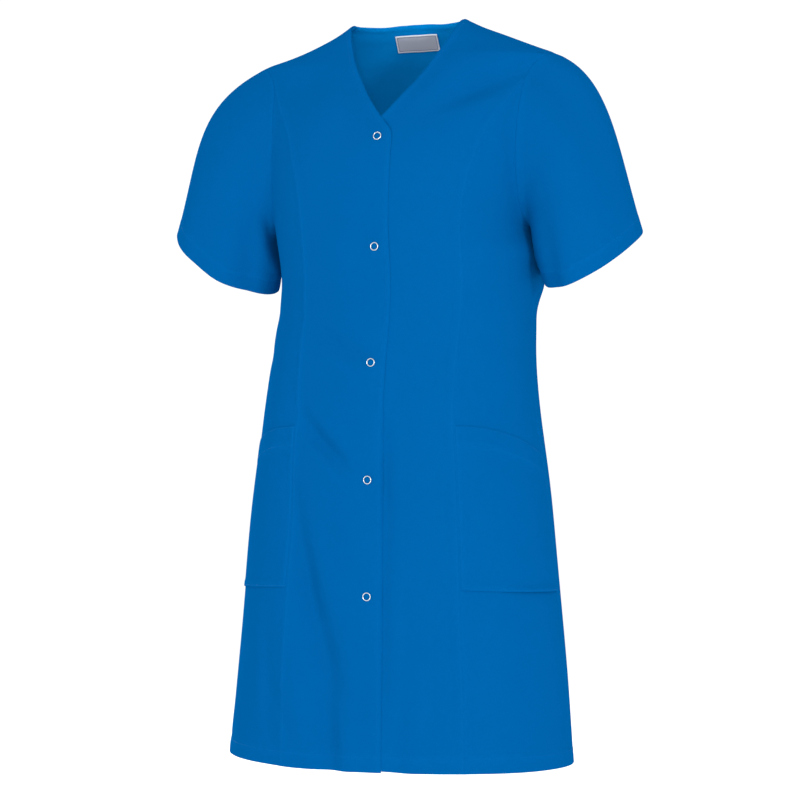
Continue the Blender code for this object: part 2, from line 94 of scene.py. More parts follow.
# Body, as in the solids
SQUARENESS = 2.15
HEM = -0.920
HEM_LEAN = 0.018
HEM_SIDE_RISE = 0.0045
NECK_TOP = 0.004
BACK_NECK_RISE = 0.0025
BACK_NECK_REACH = 0.150
SHOULDER_LEAN = 0.003
SHOULDER_REACH = 0.100
SHOULDER_TIP = -0.046
UNDERARM = -0.262
ARMHOLE_FRONT = radians(17)
ARMHOLE_BACK = radians(10)
ARMHOLE_ROUND = 0.8
SEAM_GAP = 0.0015
PANEL_SEAM_TOP = SHOULDER_TIP + (UNDERARM - SHOULDER_TIP) * (1 - cos(pi / 4)) / 2
OVERLAP = 0.018
NECK_DEPTH = 0.130
NECK_BOW = 0.55
CORNER_SOFT = 0.004  # rounding of the corner between the V neck and the leading edge
SNAP_HEIGHTS = (-0.153, -0.288, -0.428, -0.569, -0.709)

# The two fronts part near the closing: more at the snaps, which stand between them
LAYER_FROM = 0.060
LAYER_TO = 0.026
LAYER_LIFT_SNAP = 0.00235
LAYER_LIFT_REST = 0.0005
SNAP_REACH = 0.017  # how far above and below a snap, and beside it, its cloth bulges
SNAP_SPREAD = 0.0125
EDGE_SINK = 0.2  # share of its lift that the leading edge keeps, so that it lies down
EDGE_SINK_WIDTH = 0.006
EDGE_THIN = 0.33  # share of the inner half of its thickness left there
UNDERLAP_RISE = 0.0024  # of the left front's hem where the right one covers it
UNDERLAP_REACH = 0.050
UNDERLAP_FADE = 0.05
CLOSING_ABOVE = 0.008  # the fronts stop covering each other this far above the first snap
CLOSING_FADE = 0.010

# Steps of the meshes
ROW_STEP = 0.0048
SHOULDER_STEP = 0.0014
COLUMN_STEP = 0.0048
ARMHOLE_ROWS = 36
SHOULDER_BELOW = 0.05  # rows are closer from here below the shoulder's tip
LEAST_STEP = 0.00025
STEP_SHARE = 0.42  # of a panel's width, at most, for the close columns beside an edge
NECK_STEPS = (0.0012, 0.0006, 0.0002)
HEM_STEPS = (0.0, 0.0003, 0.0008, 0.0016, 0.003, 0.006, 0.010, 0.014, 0.0165, 0.0174, 0.018, 0.0186, 0.0194,
             0.021)
CUFF_STEPS = (0.0, 0.0003, 0.0008, 0.0016, 0.003, 0.006, 0.010, 0.014, 0.0175, 0.019, 0.0195, 0.020, 0.0205,
              0.021, 0.023)
EDGE_STEPS = (0.0, 0.0003, 0.0007, 0.0012, 0.0017, 0.0022, 0.0027, 0.0033, 0.0041, 0.005, 0.0055, 0.006,
              0.0065, 0.0073, 0.0085, 0.0105)
SEAM_STEPS = (0.0, 0.0004, 0.0009, 0.0014, 0.0018, 0.0022, 0.0026, 0.0031, 0.004, 0.0055, 0.0075, 0.0095,
              0.012)
BODY_PROBE = (0.01, 0.0005)  # steps in angle and height to find a surface's outward direction
SKIN_PROBE = (0.004, 0.0006)

# Sections of the body: how far it reaches to the sides, forward and back; sway shifts it to the left
Section = namedtuple("Section", "height half_width front back sway")
SECTIONS = [Section(*row) for row in (
    (0.004, 0.073, -0.012, 0.044, 0.000),
    (0.000, 0.080, -0.014, 0.046, 0.000),
    (-0.010, 0.098, -0.019, 0.051, 0.000),
    (-0.020, 0.122, -0.024, 0.058, 0.000),
    (-0.032, 0.153, -0.030, 0.064, 0.000),
    (-0.042, 0.183, -0.036, 0.068, 0.000),
    (-0.046, 0.197, -0.039, 0.070, 0.000),
    (-0.080, 0.193, -0.060, 0.082, 0.000),
    (-0.116, 0.187, -0.084, 0.091, 0.000),
    (-0.165, 0.179, -0.102, 0.097, 0.000),
    (-0.235, 0.170, -0.112, 0.099, 0.000),
    (-0.285, 0.164, -0.117, 0.097, 0.003),
    (-0.330, 0.161, -0.120, 0.094, 0.007),
    (-0.365, 0.165, -0.123, 0.091, 0.007),
    (-0.420, 0.169, -0.127, 0.090, 0.003),
    (-0.500, 0.178, -0.131, 0.094, 0.000),
    (-0.600, 0.1915, -0.133, 0.099, 0.000),
    (-0.700, 0.2025, -0.134, 0.098, 0.000),
    (-0.800, 0.212, -0.135, 0.096, 0.000),
    (-0.930, 0.223, -0.136, 0.094, 0.000),
)]
# The sections are read from tables, softened over a distance that changes from body to shoulder
TABLE_HEIGHTS = np.arange(-0.960, 0.0305, 0.001)
BODY_SOFTNESS = 0.016
SHOULDER_SOFTNESS = 0.0030
SOFTNESS_FROM = -0.130
SOFTNESS_SPAN = 0.070
SOFT_SHARES = np.linspace(-2.2, 2.2, 23)
SOFT_SPREAD = 1.4

# The panel seam: its distance from the centre line
SeamPoint = namedtuple("SeamPoint", "height reach")
PANEL_SEAM = [SeamPoint(*row) for row in (
    (-0.105, 0.152),
    (-0.145, 0.130),
    (-0.175, 0.120),
    (-0.210, 0.110),
    (-0.272, 0.103),
    (-0.350, 0.1025),
    (-0.474, 0.1015),
    (-0.596, 0.107),
    (-0.700, 0.111),
    (-0.820, 0.116),
    (-0.930, 0.119),
)]

# Creases. Angles in degrees; bow is how far the middle lies off the straight line; width is the half width;
# a rise below 0 is a trough; head and tail say how strong it is at its first and last point.
Fold = namedtuple("Fold", "angle_1 place_1 angle_2 place_2 bow width rise head tail")
FOLDS = [Fold(*row) for row in (
    # drag from the left shoulder to the closing
    (33, -0.122, 60, -0.092, 0.0, 0.0125, -0.0075, 0.3, 1.0),
    (60, -0.092, 84, -0.056, 0.0, 0.0125, -0.0070, 1.0, 0.6),
    (28, -0.100, 58, -0.058, 0.002, 0.017, 0.0060, 0.4, 0.8),
    # fullness under the left arm
    (84, -0.320, 112, -0.332, 0.0, 0.026, 0.0140, 0.9, 0.9),
    (84, -0.284, 112, -0.288, 0.0, 0.013, 0.0045, 0.8, 0.8),
    (66, -0.290, 88, -0.293, 0.0, 0.017, 0.0090, 0.6, 0.9),
    # drag from the right side to the third and fourth snap
    (-52, -0.369, -10, -0.421, 0.003, 0.011, -0.0064, 0.5, 0.9),
    (-47, -0.391, -14, -0.440, 0.003, 0.012, 0.0034, 0.4, 0.7),
    (-43, -0.494, -20, -0.545, 0.003, 0.0115, -0.0125, 0.7, 0.9),
    (-36, -0.524, -10, -0.582, 0.004, 0.013, 0.0046, 0.3, 0.7),
    # the long fold to the hem
    (-46, -0.590, -35.5, -0.712, 0.0, 0.015, -0.0105, 0.5, 1.0),
    (-35.5, -0.712, -25.5, -0.802, 0.0, 0.018, -0.0110, 1.0, 1.0),
    (-25.5, -0.802, -24, -0.935, 0.0, 0.022, -0.0110, 1.0, 0.8),
    (-36, -0.640, -12, -0.935, 0.006, 0.016, 0.0050, 0.3, 0.8),
    (-50, -0.700, -44, -0.900, 0.0, 0.020, 0.0070, 0.5, 0.7),
    (-55, -0.822, -40, -0.915, 0.0, 0.010, -0.0030, 0.5, 0.9),
    # along the right panel seam
    (-58, -0.725, -56, -0.872, 0.0, 0.007, -0.0022, 0.5, 0.9),
    (-62, -0.740, -61, -0.870, 0.0, 0.009, 0.0020, 0.5, 0.9),
    # hollow beside the closing
    (10, -0.500, 11, -0.640, 0.0, 0.010, -0.0048, 0.8, 0.8),
    (9, -0.650, 10, -0.860, 0.0, 0.011, -0.0048, 0.8, 0.8),
    # quieter ones of the front
    (-50, -0.233, -26, -0.256, 0.002, 0.010, -0.0026, 0.3, 0.7),
    (-44, -0.205, -16, -0.172, 0.002, 0.015, 0.0012, 0.3, 0.7),
    (24, -0.700, 18, -0.935, 0.0, 0.016, -0.0048, 0.3, 0.9),
    (44, -0.750, 36, -0.900, 0.003, 0.015, -0.0034, 0.3, 0.8),
    (8, -0.735, 6, -0.935, 0.0, 0.018, 0.0018, 0.3, 0.9),
    (-88, -0.895, -90, -0.940, 0.0, 0.022, 0.0050, 0.9, 0.9),
    (78, -0.740, 79, -0.935, 0.0, 0.022, -0.0050, 0.3, 1.0),
    (63, -0.560, 70, -0.470, 0.003, 0.013, -0.0018, 0.5, 0.4),
    (88, -0.405, 62, -0.437, 0.004, 0.012, -0.0018, 0.8, 0.3),
    (92, -0.372, 66, -0.385, 0.003, 0.012, -0.0016, 0.8, 0.3),
    (-90, -0.372, -64, -0.352, 0.003, 0.013, -0.0020, 0.8, 0.3),
    (-92, -0.410, -62, -0.420, 0.003, 0.013, -0.0018, 0.8, 0.3),
    # the back and the sides
    (142, -0.600, 146, -0.935, 0.0, 0.024, -0.0112, 0.3, 1.0),
    (-138, -0.640, -143, -0.935, 0.0, 0.024, -0.0098, 0.3, 1.0),
    (180, -0.560, 176, -0.935, 0.0, 0.028, 0.0084, 0.3, 1.0),
    (112, -0.700, 116, -0.935, 0.0, 0.022, 0.0070, 0.3, 1.0),
    (-110, -0.680, -114, -0.935, 0.0, 0.022, 0.0070, 0.3, 1.0),
    (163, -0.740, 161, -0.935, 0.003, 0.014, -0.0036, 0.3, 0.9),
    (-166, -0.700, -163, -0.935, -0.003, 0.015, -0.0042, 0.3, 0.9),
    (-98, -0.760, -96, -0.935, 0.0, 0.014, -0.0042, 0.3, 0.9),
    (128, -0.330, 160, -0.400, 0.004, 0.016, -0.0070, 0.9, 0.4),
    (-124, -0.340, -158, -0.412, -0.004, 0.016, -0.0081, 0.9, 0.4),
    (120, -0.372, 152, -0.446, 0.004, 0.014, -0.0048, 0.8, 0.3),
    (-118, -0.385, -150, -0.462, -0.004, 0.014, -0.0045, 0.8, 0.3),
    (138, -0.302, 164, -0.356, 0.004, 0.015, 0.0042, 0.7, 0.4),
    (-134, -0.306, -162, -0.366, -0.004, 0.015, 0.0048, 0.7, 0.4),
    (176, -0.352, 186, -0.408, 0.003, 0.016, -0.0036, 0.5, 0.5),
    (116, -0.222, 134, -0.120, 0.006, 0.016, -0.0048, 0.9, 0.3),
    (-116, -0.222, -136, -0.126, -0.006, 0.016, -0.0050, 0.9, 0.3),
    (122, -0.250, 148, -0.170, 0.006, 0.014, 0.0034, 0.8, 0.3),
    (-122, -0.250, -148, -0.176, -0.006, 0.014, 0.0034, 0.8, 0.3),
    (154, -0.058, 172, -0.048, 0.0, 0.012, -0.0022, 0.5, 0.5),
)]
FOLD_RADIUS = 0.150
CREASE_ENDS = 0.55  # strength of a crease at its ends, as a share of its middle's
CREASE_RUNOUT = 1.6  # how far it runs out beyond them, in widths
WAVE_COUNT = 16  # broad, shallow unevenness of the hanging cloth
WAVE_RISE = 0.00055

# Cuffs: the place of the middle, half sizes, rise outward and tilt forward in degrees, rise under the arm
Cuff = namedtuple("Cuff", "reach depth height half_width half_depth rise tilt under")
CUFFS = {
    "left": Cuff(0.246, -0.008, -0.301, 0.066, 0.073, 24.5, 24.0, 0.011),
    "right": Cuff(0.241, -0.008, -0.294, 0.080, 0.057, 29.5, 23.0, 0.0),
}
CUFF_POINT = 1.22
CUFF_UNDER_SPREAD = 0.6  # of the rise under the arm, in radians
ARM_LEAN = radians(17.5)
# How far the sleeve's curves run straight on at its ends
Pull = namedtuple("Pull", "top middle low")
SLEEVE_START = {
    "left": Pull(0.072, 0.045, 0.014),
    "right": Pull(0.113, 0.059, 0.014),
}
SLEEVE_END = Pull(0.107, 0.073, 0.032)
SLEEVE_DROP = 0.415
SLEEVE_OFFSET = -0.0002
SLEEVE_AROUND = 108
SLEEVE_ALONG = 52
SLEEVE_RADIUS = 0.066
SLEEVE_LENGTH = 0.200
# Here an angle is 0 on top, 90 at the front and 180 under the arm; a place is 0 at the armhole, 1 at the cuff
SLEEVE_FOLDS = {"left": [Fold(*row) for row in (
    (112, 0.45, 124, 1.05, 0.0, 0.014, -0.0050, 0.4, 0.9),
    (60, 0.70, 66, 1.05, 0.0, 0.018, 0.0030, 0.4, 0.9),
    (150, 0.06, 104, 0.46, 0.005, 0.010, -0.0030, 0.9, 0.3),
    (138, 0.04, 86, 0.34, 0.006, 0.011, -0.0022, 0.9, 0.3),
    (160, 0.20, 128, 0.62, 0.004, 0.010, 0.0022, 0.8, 0.3),
    (160, 0.12, 163, 0.80, 0.0, 0.017, 0.0105, 0.7, 0.8),
    (140, 0.22, 138, 0.84, 0.0, 0.017, 0.0060, 0.6, 0.8),
    (236, 0.35, 244, 1.05, 0.0, 0.016, -0.0050, 0.4, 0.9),
    (212, 0.08, 262, 0.42, -0.005, 0.012, -0.0030, 0.9, 0.3),
    (20, 0.75, 26, 1.05, 0.0, 0.014, -0.0014, 0.3, 0.9),
)], "right": [Fold(*row) for row in (
    (58, 0.55, 70, 1.05, 0.0, 0.016, -0.0030, 0.4, 0.9),
    (120, 0.40, 130, 1.05, 0.0, 0.015, -0.0050, 0.4, 0.9),
    (150, 0.06, 100, 0.40, 0.005, 0.010, -0.0030, 0.9, 0.3),
    (136, 0.05, 82, 0.30, 0.006, 0.011, -0.0020, 0.9, 0.3),
    (156, 0.18, 158, 0.74, 0.0, 0.024, 0.0200, 0.6, 0.8),
    (92, 0.60, 98, 1.05, 0.002, 0.012, 0.0022, 0.3, 0.9),
    (230, 0.40, 238, 1.05, 0.0, 0.016, -0.0050, 0.4, 0.9),
    (210, 0.08, 258, 0.40, -0.005, 0.012, -0.0030, 0.9, 0.3),
    (30, 0.72, 24, 1.05, 0.0, 0.014, -0.0012, 0.3, 0.9),
)]}

# Pockets, as in the solids
POCKET_INSET = 0.0008
POCKET_MOUTH_INNER = -0.504
POCKET_MOUTH_OUTER = -0.544
POCKET_MOUTH_BEND = 2.2
POCKET_BOTTOM_INNER = -0.701
POCKET_BOTTOM_OUTER = -0.708
POCKET_GAPE = 0.0001
POCKET_LIFT = 0.0009
POCKET_DROOP = {-1: 0.0006, 1: 0.0032}  # how far the outer half of the bottom stands off
POCKET_WIDTH = 0.110  # middling sizes, to space its rows and columns
POCKET_TALL = 0.190
POCKET_ROWS = 40
POCKET_COLUMNS = 24

# Back darts: two tapering tucks that shape the waist
Dart = namedtuple("Dart", "angle top middle low depth")
DARTS = [Dart(*row) for row in (
    (152, -0.235, -0.360, -0.520, 0.0011),
    (208, -0.235, -0.360, -0.520, 0.0011),
)]
DART_WIDTH = 0.0016
DART_FULLNESS = 1.6

# Label
LABEL_WIDTH = 0.057
LABEL_TOP = -0.0075
LABEL_LOW = -0.0270
LABEL_SHIFT = -0.003  # of its middle, to the wearer's right
LABEL_HALF = 0.00025
LABEL_GAP = 0.0009  # from the back's inner side
LABEL_CURL = 0.0004
LABEL_ROWS = 17
LABEL_COLUMNS = 33

# Snaps: the ring's profile, from its inner to its outer edge
SNAP_SIDES = 40
SNAP_GAP = 0.0003
RingPoint = namedtuple("RingPoint", "radius height")
RING_PROFILE = [RingPoint(*row) for row in (
    (0.00400, 0.0000),
    (0.00400, 0.0004),
    (0.00410, 0.00072),
    (0.00435, 0.00092),
    (0.00465, 0.00096),
    (0.00495, 0.00082),
    (0.00518, 0.0005),
    (0.00525, 0.0002),
    (0.00525, 0.0000),
)]

# Sewing
STITCH_PITCH = 0.0030
STITCH_LENGTH = 0.0024
THREAD_RADIUS = 0.00018
THREAD_SQUASH = 1.25
STITCH_SIDES = 5
STITCH_RINGS = ((-0.5, 0.25), (-0.32, 0.9), (0.32, 0.9), (0.5, 0.25))  # place along it, share of the radius

# Colours, linear
CLOTH_COLOUR = (0.0001, 0.0693, 0.2265)
INSIDE_PAINTED_LIGHT_COLOUR = (0.0002, 0.155, 0.435)  # painted light: a paler copy of the cloth's colour for the inner sides, so that the shaded inside looks lit
THREAD_COLOUR = (0.001, 0.082, 0.255)
METAL_COLOUR = (0.62, 0.65, 0.67)
SOCKET_COLOUR = (0.70, 0.72, 0.74)
LABEL_COLOUR = (0.30, 0.32, 0.38)
LABEL_EDGE_COLOUR = (0.62, 0.65, 0.70)
LABEL_LINE_COLOUR = (0.15, 0.16, 0.22)
LABEL_EDGE = 0.0014  # width of the pale edge, and place of the thin line
LABEL_LINE = (0.0021, 0.0028)
LABEL_REACH = 0.01
LABEL_PITCH = 0.0004  # of its weave
YARN_PITCH = 0.00055
TWILL_TONE = 0.012  # how much each of these lightens the cloth
SLUB_TONE = 0.10
CLOUD_TONE = 0.05
SEWN_TONE = 0.04
FLOOR_COLOUR = (0.97, 0.97, 0.97)

# Camera, level and turned a little to the wearer's left, with the photograph's framing
CAMERA_TURN = radians(20)
CAMERA_DISTANCE = 2.732
CAMERA_TARGET = Vector((0.0, -0.020, -0.473))
CAMERA_LENS = 98.4
FLOOR_HEIGHT = -1.46  # under the feet of a wearer of this size
FLOOR_RADIUS = 60.0
FLOOR_SIDES = 96
WORLD_STRENGTH = 1.06
Lamp = namedtuple("Lamp", "name place target size energy")
LAMPS = [Lamp(*row) for row in (
    ("front", (1.10, -3.6, 0.30), (0.0, 0.0, -0.33), 0.8, 46.0),
    ("right", (3.0, -2.5, 0.1), (0.0, 0.0, -0.40), 0.8, 54.0),
    ("left", (-3.2, -2.6, 0.2), (0.0, 0.0, -0.40), 1.6, 40.0),
    ("back", (-2.6, 2.9, 0.9), (0.0, 0.0, -0.45), 1.4, 85.0),
)]


def mix(a, b, t):
    return a + (b - a) * t


def ease(t):
    t = np.clip(t, 0.0, 1.0)
    return t * t * (3 - 2 * t)


def bell(distance, width):
    return np.exp(-(distance / width) ** 2)


def unit(vectors):
    return vectors / np.maximum(np.linalg.norm(vectors, axis=-1, keepdims=True), 1e-12)


# ---- the body's form

def smooth_through(points):
    """A cubic through (place, value) points that never overshoots, and goes on straight past its ends."""
    places, values = np.array(sorted(points)).T
    steps = np.diff(places)
    rates = np.diff(values) / steps
    near = 2 * steps[1:] + steps[:-1]
    far = steps[1:] + 2 * steps[:-1]
    steady = rates[:-1] * rates[1:] > 0
    safe_before = np.where(steady, rates[:-1], 1.0)
    safe_after = np.where(steady, rates[1:], 1.0)
    inner = np.where(steady, (near + far) / (near / safe_before + far / safe_after), 0.0)
    slopes = np.concatenate([rates[:1], inner, rates[-1:]])

    def value_at(place):
        held = np.clip(place, places[0], places[-1])
        i = np.clip(np.searchsorted(places, held, side="right") - 1, 0, len(steps) - 1)
        t = (held - places[i]) / steps[i]
        start = (2 * t + 1) * (1 - t) ** 2 * values[i] + t * (1 - t) ** 2 * steps[i] * slopes[i]
        end = t * t * (3 - 2 * t) * values[i + 1] - t * t * (1 - t) * steps[i] * slopes[i + 1]
        beyond = np.where(place > places[-1], slopes[-1], slopes[0]) * (place - held)
        return start + end + beyond

    return value_at


def softened(column):
    """A column of the sections as a function of height, rounded off so that no section shows as a line."""
    exact = smooth_through([(section.height, getattr(section, column)) for section in SECTIONS])
    softness = mix(BODY_SOFTNESS, SHOULDER_SOFTNESS, ease((TABLE_HEIGHTS - SOFTNESS_FROM) / SOFTNESS_SPAN))
    weights = bell(SOFT_SHARES, SOFT_SPREAD)
    total = np.zeros_like(TABLE_HEIGHTS)
    for share, weight in zip(SOFT_SHARES, weights):
        total += weight * exact(TABLE_HEIGHTS + share * softness)
    table = total / weights.sum()
    return lambda place: np.interp(place, TABLE_HEIGHTS, table)


half_width = softened("half_width")
front_depth = softened("front")
back_depth = softened("back")
sway = softened("sway")
NECK_HALF_WIDTH = float(half_width(NECK_TOP))
SHOULDER_HALF_WIDTH = float(half_width(SHOULDER_TIP))


def half_depth(height):
    return (back_depth(height) - front_depth(height)) / 2


def radius(angle, height):
    across = np.abs(np.sin(angle)) / half_width(height)
    along = np.abs(np.cos(angle)) / half_depth(height)
    return (across ** SQUARENESS + along ** SQUARENESS) ** (-1 / SQUARENESS)


def fade(height, reach):
    """1 at the neck, 0 from a reach below it."""
    return np.clip(1 + (height - NECK_TOP) / reach, 0.0, 1.0)


def body_points(angle, height):
    """Points of the body's smooth form, without its folds."""
    r = radius(angle, height)
    x = r * np.sin(angle) + sway(height)
    y = (front_depth(height) + back_depth(height)) / 2 - r * np.cos(angle)
    lean = HEM_LEAN * x * (height / HEM) ** 2
    lean = lean + HEM_SIDE_RISE * np.maximum(-np.sin(angle), 0.0) ** 6 * (height / HEM) ** 12
    share = np.clip((np.abs(x) - NECK_HALF_WIDTH) / (SHOULDER_HALF_WIDTH - NECK_HALF_WIDTH), 0.0, 1.0)
    lean = lean + SHOULDER_LEAN * np.sign(x) * np.sin(pi * share) * fade(height, SHOULDER_REACH)
    behind = np.maximum(-np.cos(angle), 0.0) ** 2
    rise = BACK_NECK_RISE * behind * fade(height, BACK_NECK_REACH) ** 2
    return np.stack([x, y, height + lean + rise], axis=-1)


def normals_of(surface, angle, height, turn, drop):
    """Outward directions of a surface given as a function of angle and height."""
    round_the_body = surface(angle + turn, height) - surface(angle - turn, height)
    up = surface(angle, height + drop) - surface(angle, height - drop)
    return unit(np.cross(round_the_body, up))


def angle_at(x, height):
    """The angle of the front's point at a distance x from the centre line."""
    share = np.minimum(np.abs(x) / half_width(height), 1.0)
    forward = half_depth(height) * (1 - share ** SQUARENESS) ** (1 / SQUARENESS)
    return np.arctan2(x, forward)


# ---- creases

def creases(folds, turn, place, around, length=1.0, laps=(0.0,)):
    """Heights of soft creases along bowed lines, on a surface laid flat with a radius and a length."""
    total = np.zeros(np.broadcast(turn, place).shape)
    for fold in folds:
        start_u = radians(fold.angle_1) * around
        start_v = fold.place_1 * length
        along_u = radians(fold.angle_2) * around - start_u
        along_v = fold.place_2 * length - start_v
        size = np.hypot(along_u, along_v)
        for lap in laps:
            u = (turn + lap) * around - start_u
            v = place * length - start_v
            t = (u * along_u + v * along_v) / size ** 2
            inside = np.clip(t, 0.0, 1.0)
            off = (u * along_v - v * along_u) / size - fold.bow * 4 * inside * (1 - inside)
            beyond = (t - inside) * size / CREASE_RUNOUT
            strength = mix(fold.head, fold.tail, ease(inside)) * mix(CREASE_ENDS, 1.0, np.sin(pi * inside))
            total += fold.rise * strength * bell(np.hypot(off, beyond), fold.width)
    return total


wave_random = np.random.default_rng(5)
WAVE_TURNS = wave_random.integers(2, 13, WAVE_COUNT)
WAVE_RATES = wave_random.uniform(-26, 26, WAVE_COUNT)
WAVE_STARTS = wave_random.uniform(0, 2 * pi, WAVE_COUNT)


def waves(angle, height):
    total = np.zeros(np.broadcast(angle, height).shape)
    for turns, rate, start in zip(WAVE_TURNS, WAVE_RATES, WAVE_STARTS):
        total += np.cos(turns * angle + rate * height + start)
    return WAVE_RISE * total / np.sqrt(WAVE_COUNT / 2)


def dart_depth(angle, height):
    """The narrow grooves of the back's darts, deepest at the waist."""
    total = np.zeros(np.broadcast(angle, height).shape)
    for dart in DARTS:
        above = (dart.top - height) / (dart.top - dart.middle)
        below = (height - dart.low) / (dart.middle - dart.low)
        strength = ease(np.minimum(above, below) * DART_FULLNESS)
        off = (angle - radians(dart.angle)) * radius(angle, height)
        total += dart.depth * strength * bell(off, DART_WIDTH)
    return total


def layer_lift(side, x, height):
    """How far a front stands off the common surface near the closing: the right one out, the left in."""
    share = ease((LAYER_FROM - side * x) / (LAYER_FROM - LAYER_TO))
    if side == -1:
        share = share * mix(EDGE_SINK, 1.0, ease((OVERLAP - x) / EDGE_SINK_WIDTH))
    snap = np.maximum.reduce([bell(height - snap_height, SNAP_REACH) for snap_height in SNAP_HEIGHTS])
    return -side * share * mix(LAYER_LIFT_REST, LAYER_LIFT_SNAP, snap * bell(x, SNAP_SPREAD))


def skin(side):
    """The folded cloth's middle as a function of angle and height; side is 1, -1 or 0 for the back."""

    def surface(angle, height):
        smooth = body_points(angle, height)
        folds = creases(FOLDS, angle, height, FOLD_RADIUS, laps=(-2 * pi, 0.0, 2 * pi))
        rise = folds + waves(angle, height)
        if side:
            rise = rise + layer_lift(side, smooth[..., 0], height)
        return smooth + normals_of(body_points, angle, height, *BODY_PROBE) * rise[..., None]

    return surface


def skin_at(side, angle, height):
    """The folded cloth's points and outward directions."""
    surface = skin(side)
    return surface(angle, height), normals_of(surface, angle, height, *SKIN_PROBE)


# ---- edges of the panels

def armhole_height(turn):
    return SHOULDER_TIP + (UNDERARM - SHOULDER_TIP) * (1 - np.cos(turn)) / 2


def armhole_angle(turn, behind):
    cut = np.where(behind, ARMHOLE_BACK, -ARMHOLE_FRONT)
    return pi / 2 + cut * np.abs(np.sin(turn)) ** ARMHOLE_ROUND


def outer_angle(height, behind):
    """Where a panel ends at its outer side: shoulder seam, armhole or side seam."""
    share = np.clip((SHOULDER_TIP - height) / (SHOULDER_TIP - UNDERARM), 0.0, 1.0)
    return armhole_angle(np.arccos(1 - 2 * share), behind)


SEAM_START = float(outer_angle(PANEL_SEAM_TOP, False))
panel_seam_reach = smooth_through(
    [(PANEL_SEAM_TOP, float(radius(SEAM_START, PANEL_SEAM_TOP)) * sin(SEAM_START)), *PANEL_SEAM])


def panel_seam_angle(height):
    seam = angle_at(panel_seam_reach(height), height)
    return np.where(height >= PANEL_SEAM_TOP, outer_angle(height, False), seam)


def centre_edge_angle(height):
    """The front's free edge: the V neck above, the overlapping edge below, with a rounded corner."""
    drop = (NECK_TOP - height) / NECK_DEPTH
    neck = NECK_HALF_WIDTH * (1 - mix(drop, drop ** 2, NECK_BOW))
    x = (neck - OVERLAP + np.sqrt((neck + OVERLAP) ** 2 + CORNER_SOFT ** 2)) / 2
    return angle_at(x, height)


def body_heights(top=NECK_TOP):
    """Heights of the rows: close together in the hem, at both ends of the armhole and on the shoulder."""
    rows = [HEM + step for step in HEM_STEPS]
    rows += list(np.arange(HEM + HEM_STEPS[-1] + ROW_STEP / 2, SHOULDER_TIP - SHOULDER_BELOW, ROW_STEP))
    rows += list(np.arange(SHOULDER_TIP - SHOULDER_BELOW, SHOULDER_TIP, ROW_STEP / 2))
    rows += list(np.arange(SHOULDER_TIP, NECK_TOP - 0.001, SHOULDER_STEP))
    rows += [float(armhole_height(pi * i / ARMHOLE_ROWS)) for i in range(ARMHOLE_ROWS + 1)]
    rows += [NECK_TOP - step for step in NECK_STEPS]
    kept = []
    for height in sorted(row for row in rows if row < top):
        if not kept or height - kept[-1] > LEAST_STEP:
            kept.append(height)
    return np.array(kept)


def panel_angles(heights, start, end, start_steps):
    """Angles of a panel's columns: at fixed distances from both edges, and evenly spread between them."""
    start_radius = radius(start, heights)
    end_radius = radius(end, heights)
    width = (end - start) * (start_radius + end_radius) / 2
    squeeze = np.clip(STEP_SHARE * width / max(start_steps[-1], SEAM_STEPS[-1]), 0.0, 1.0)[:, None]
    first = start[:, None] + squeeze * np.array(start_steps) / start_radius[:, None]
    last = end[:, None] - squeeze * np.array(SEAM_STEPS)[::-1] / end_radius[:, None]
    count = max(int(round((width.max() - start_steps[-1] - SEAM_STEPS[-1]) / COLUMN_STEP)), 2)
    middle = mix(first[:, -1:], last[:, :1], np.arange(1, count) / count)
    return np.concatenate([first, middle, last], axis=1)


# ---- meshes

def distances_to(line, points):
    """Distance of each point to an open line of points."""
    flat = points.reshape(-1, 3)
    best = np.full(len(flat), np.inf)
    for start, step in zip(line[:-1], np.diff(line, axis=0)):
        t = np.clip(((flat - start) @ step) / max(step @ step, 1e-18), 0.0, 1.0)
        gap = flat - start - t[:, None] * step
        best = np.minimum(best, (gap ** 2).sum(-1))
    return np.sqrt(best).reshape(points.shape[:-1])


def arc_lengths(points, axis):
    """Running length along one axis of a grid of points."""
    steps = np.linalg.norm(np.diff(points, axis=axis), axis=-1)
    start = np.zeros_like(np.take(steps, [0], axis=axis))
    return np.cumsum(np.concatenate([start, steps], axis=axis), axis=axis)


def closed_up(grid):
    """A tube's grid with its first column again at the end."""
    return np.concatenate([grid, grid[:, :1]], axis=1)


def grid_faces(rows, columns, closed, first, flip):
    index = first + np.arange(rows * columns).reshape(rows, columns)
    if closed:
        index = closed_up(index)
    low, high = index[:-1], index[1:]
    faces = np.stack([low[:, :-1], low[:, 1:], high[:, 1:], high[:, :-1]], axis=-1).reshape(-1, 4)
    return faces[:, ::-1] if flip else faces


def rim_faces(rows, columns, closed, flip):
    """Faces that join the outer and the inner grid along their free edges."""
    index = np.arange(rows * columns).reshape(rows, columns)
    size = rows * columns
    if closed:
        loops = [np.append(index[0], index[0, 0]), np.append(index[-1], index[-1, 0])[::-1]]
    else:
        ring = np.concatenate([index[0, :-1], index[:-1, -1], index[-1, :0:-1], index[:0:-1, 0]])
        loops = [np.append(ring, ring[0])]
    strips = [np.stack([loop[1:], loop[:-1], loop[:-1] + size, loop[1:] + size], axis=-1) for loop in loops]
    faces = np.concatenate(strips)
    return faces[:, ::-1] if flip else faces


def make_object(name, vertices, faces, material):
    mesh = bpy.data.meshes.new(name)
    mesh.from_pydata(vertices.tolist(), [], faces.tolist())
    mesh.materials.append(material)
    mesh.shade_smooth()
    obj = bpy.data.objects.new(name, mesh)
    bpy.context.scene.collection.objects.link(obj)
    return obj


def point_attribute(obj, name, values):
    """A number for each point of the middle surface, given to both sides."""
    both = np.concatenate([values.ravel(), values.ravel()])
    attribute = obj.data.attributes.new(name, "FLOAT", "POINT")
    attribute.data.foreach_set("value", both.astype(np.float32))


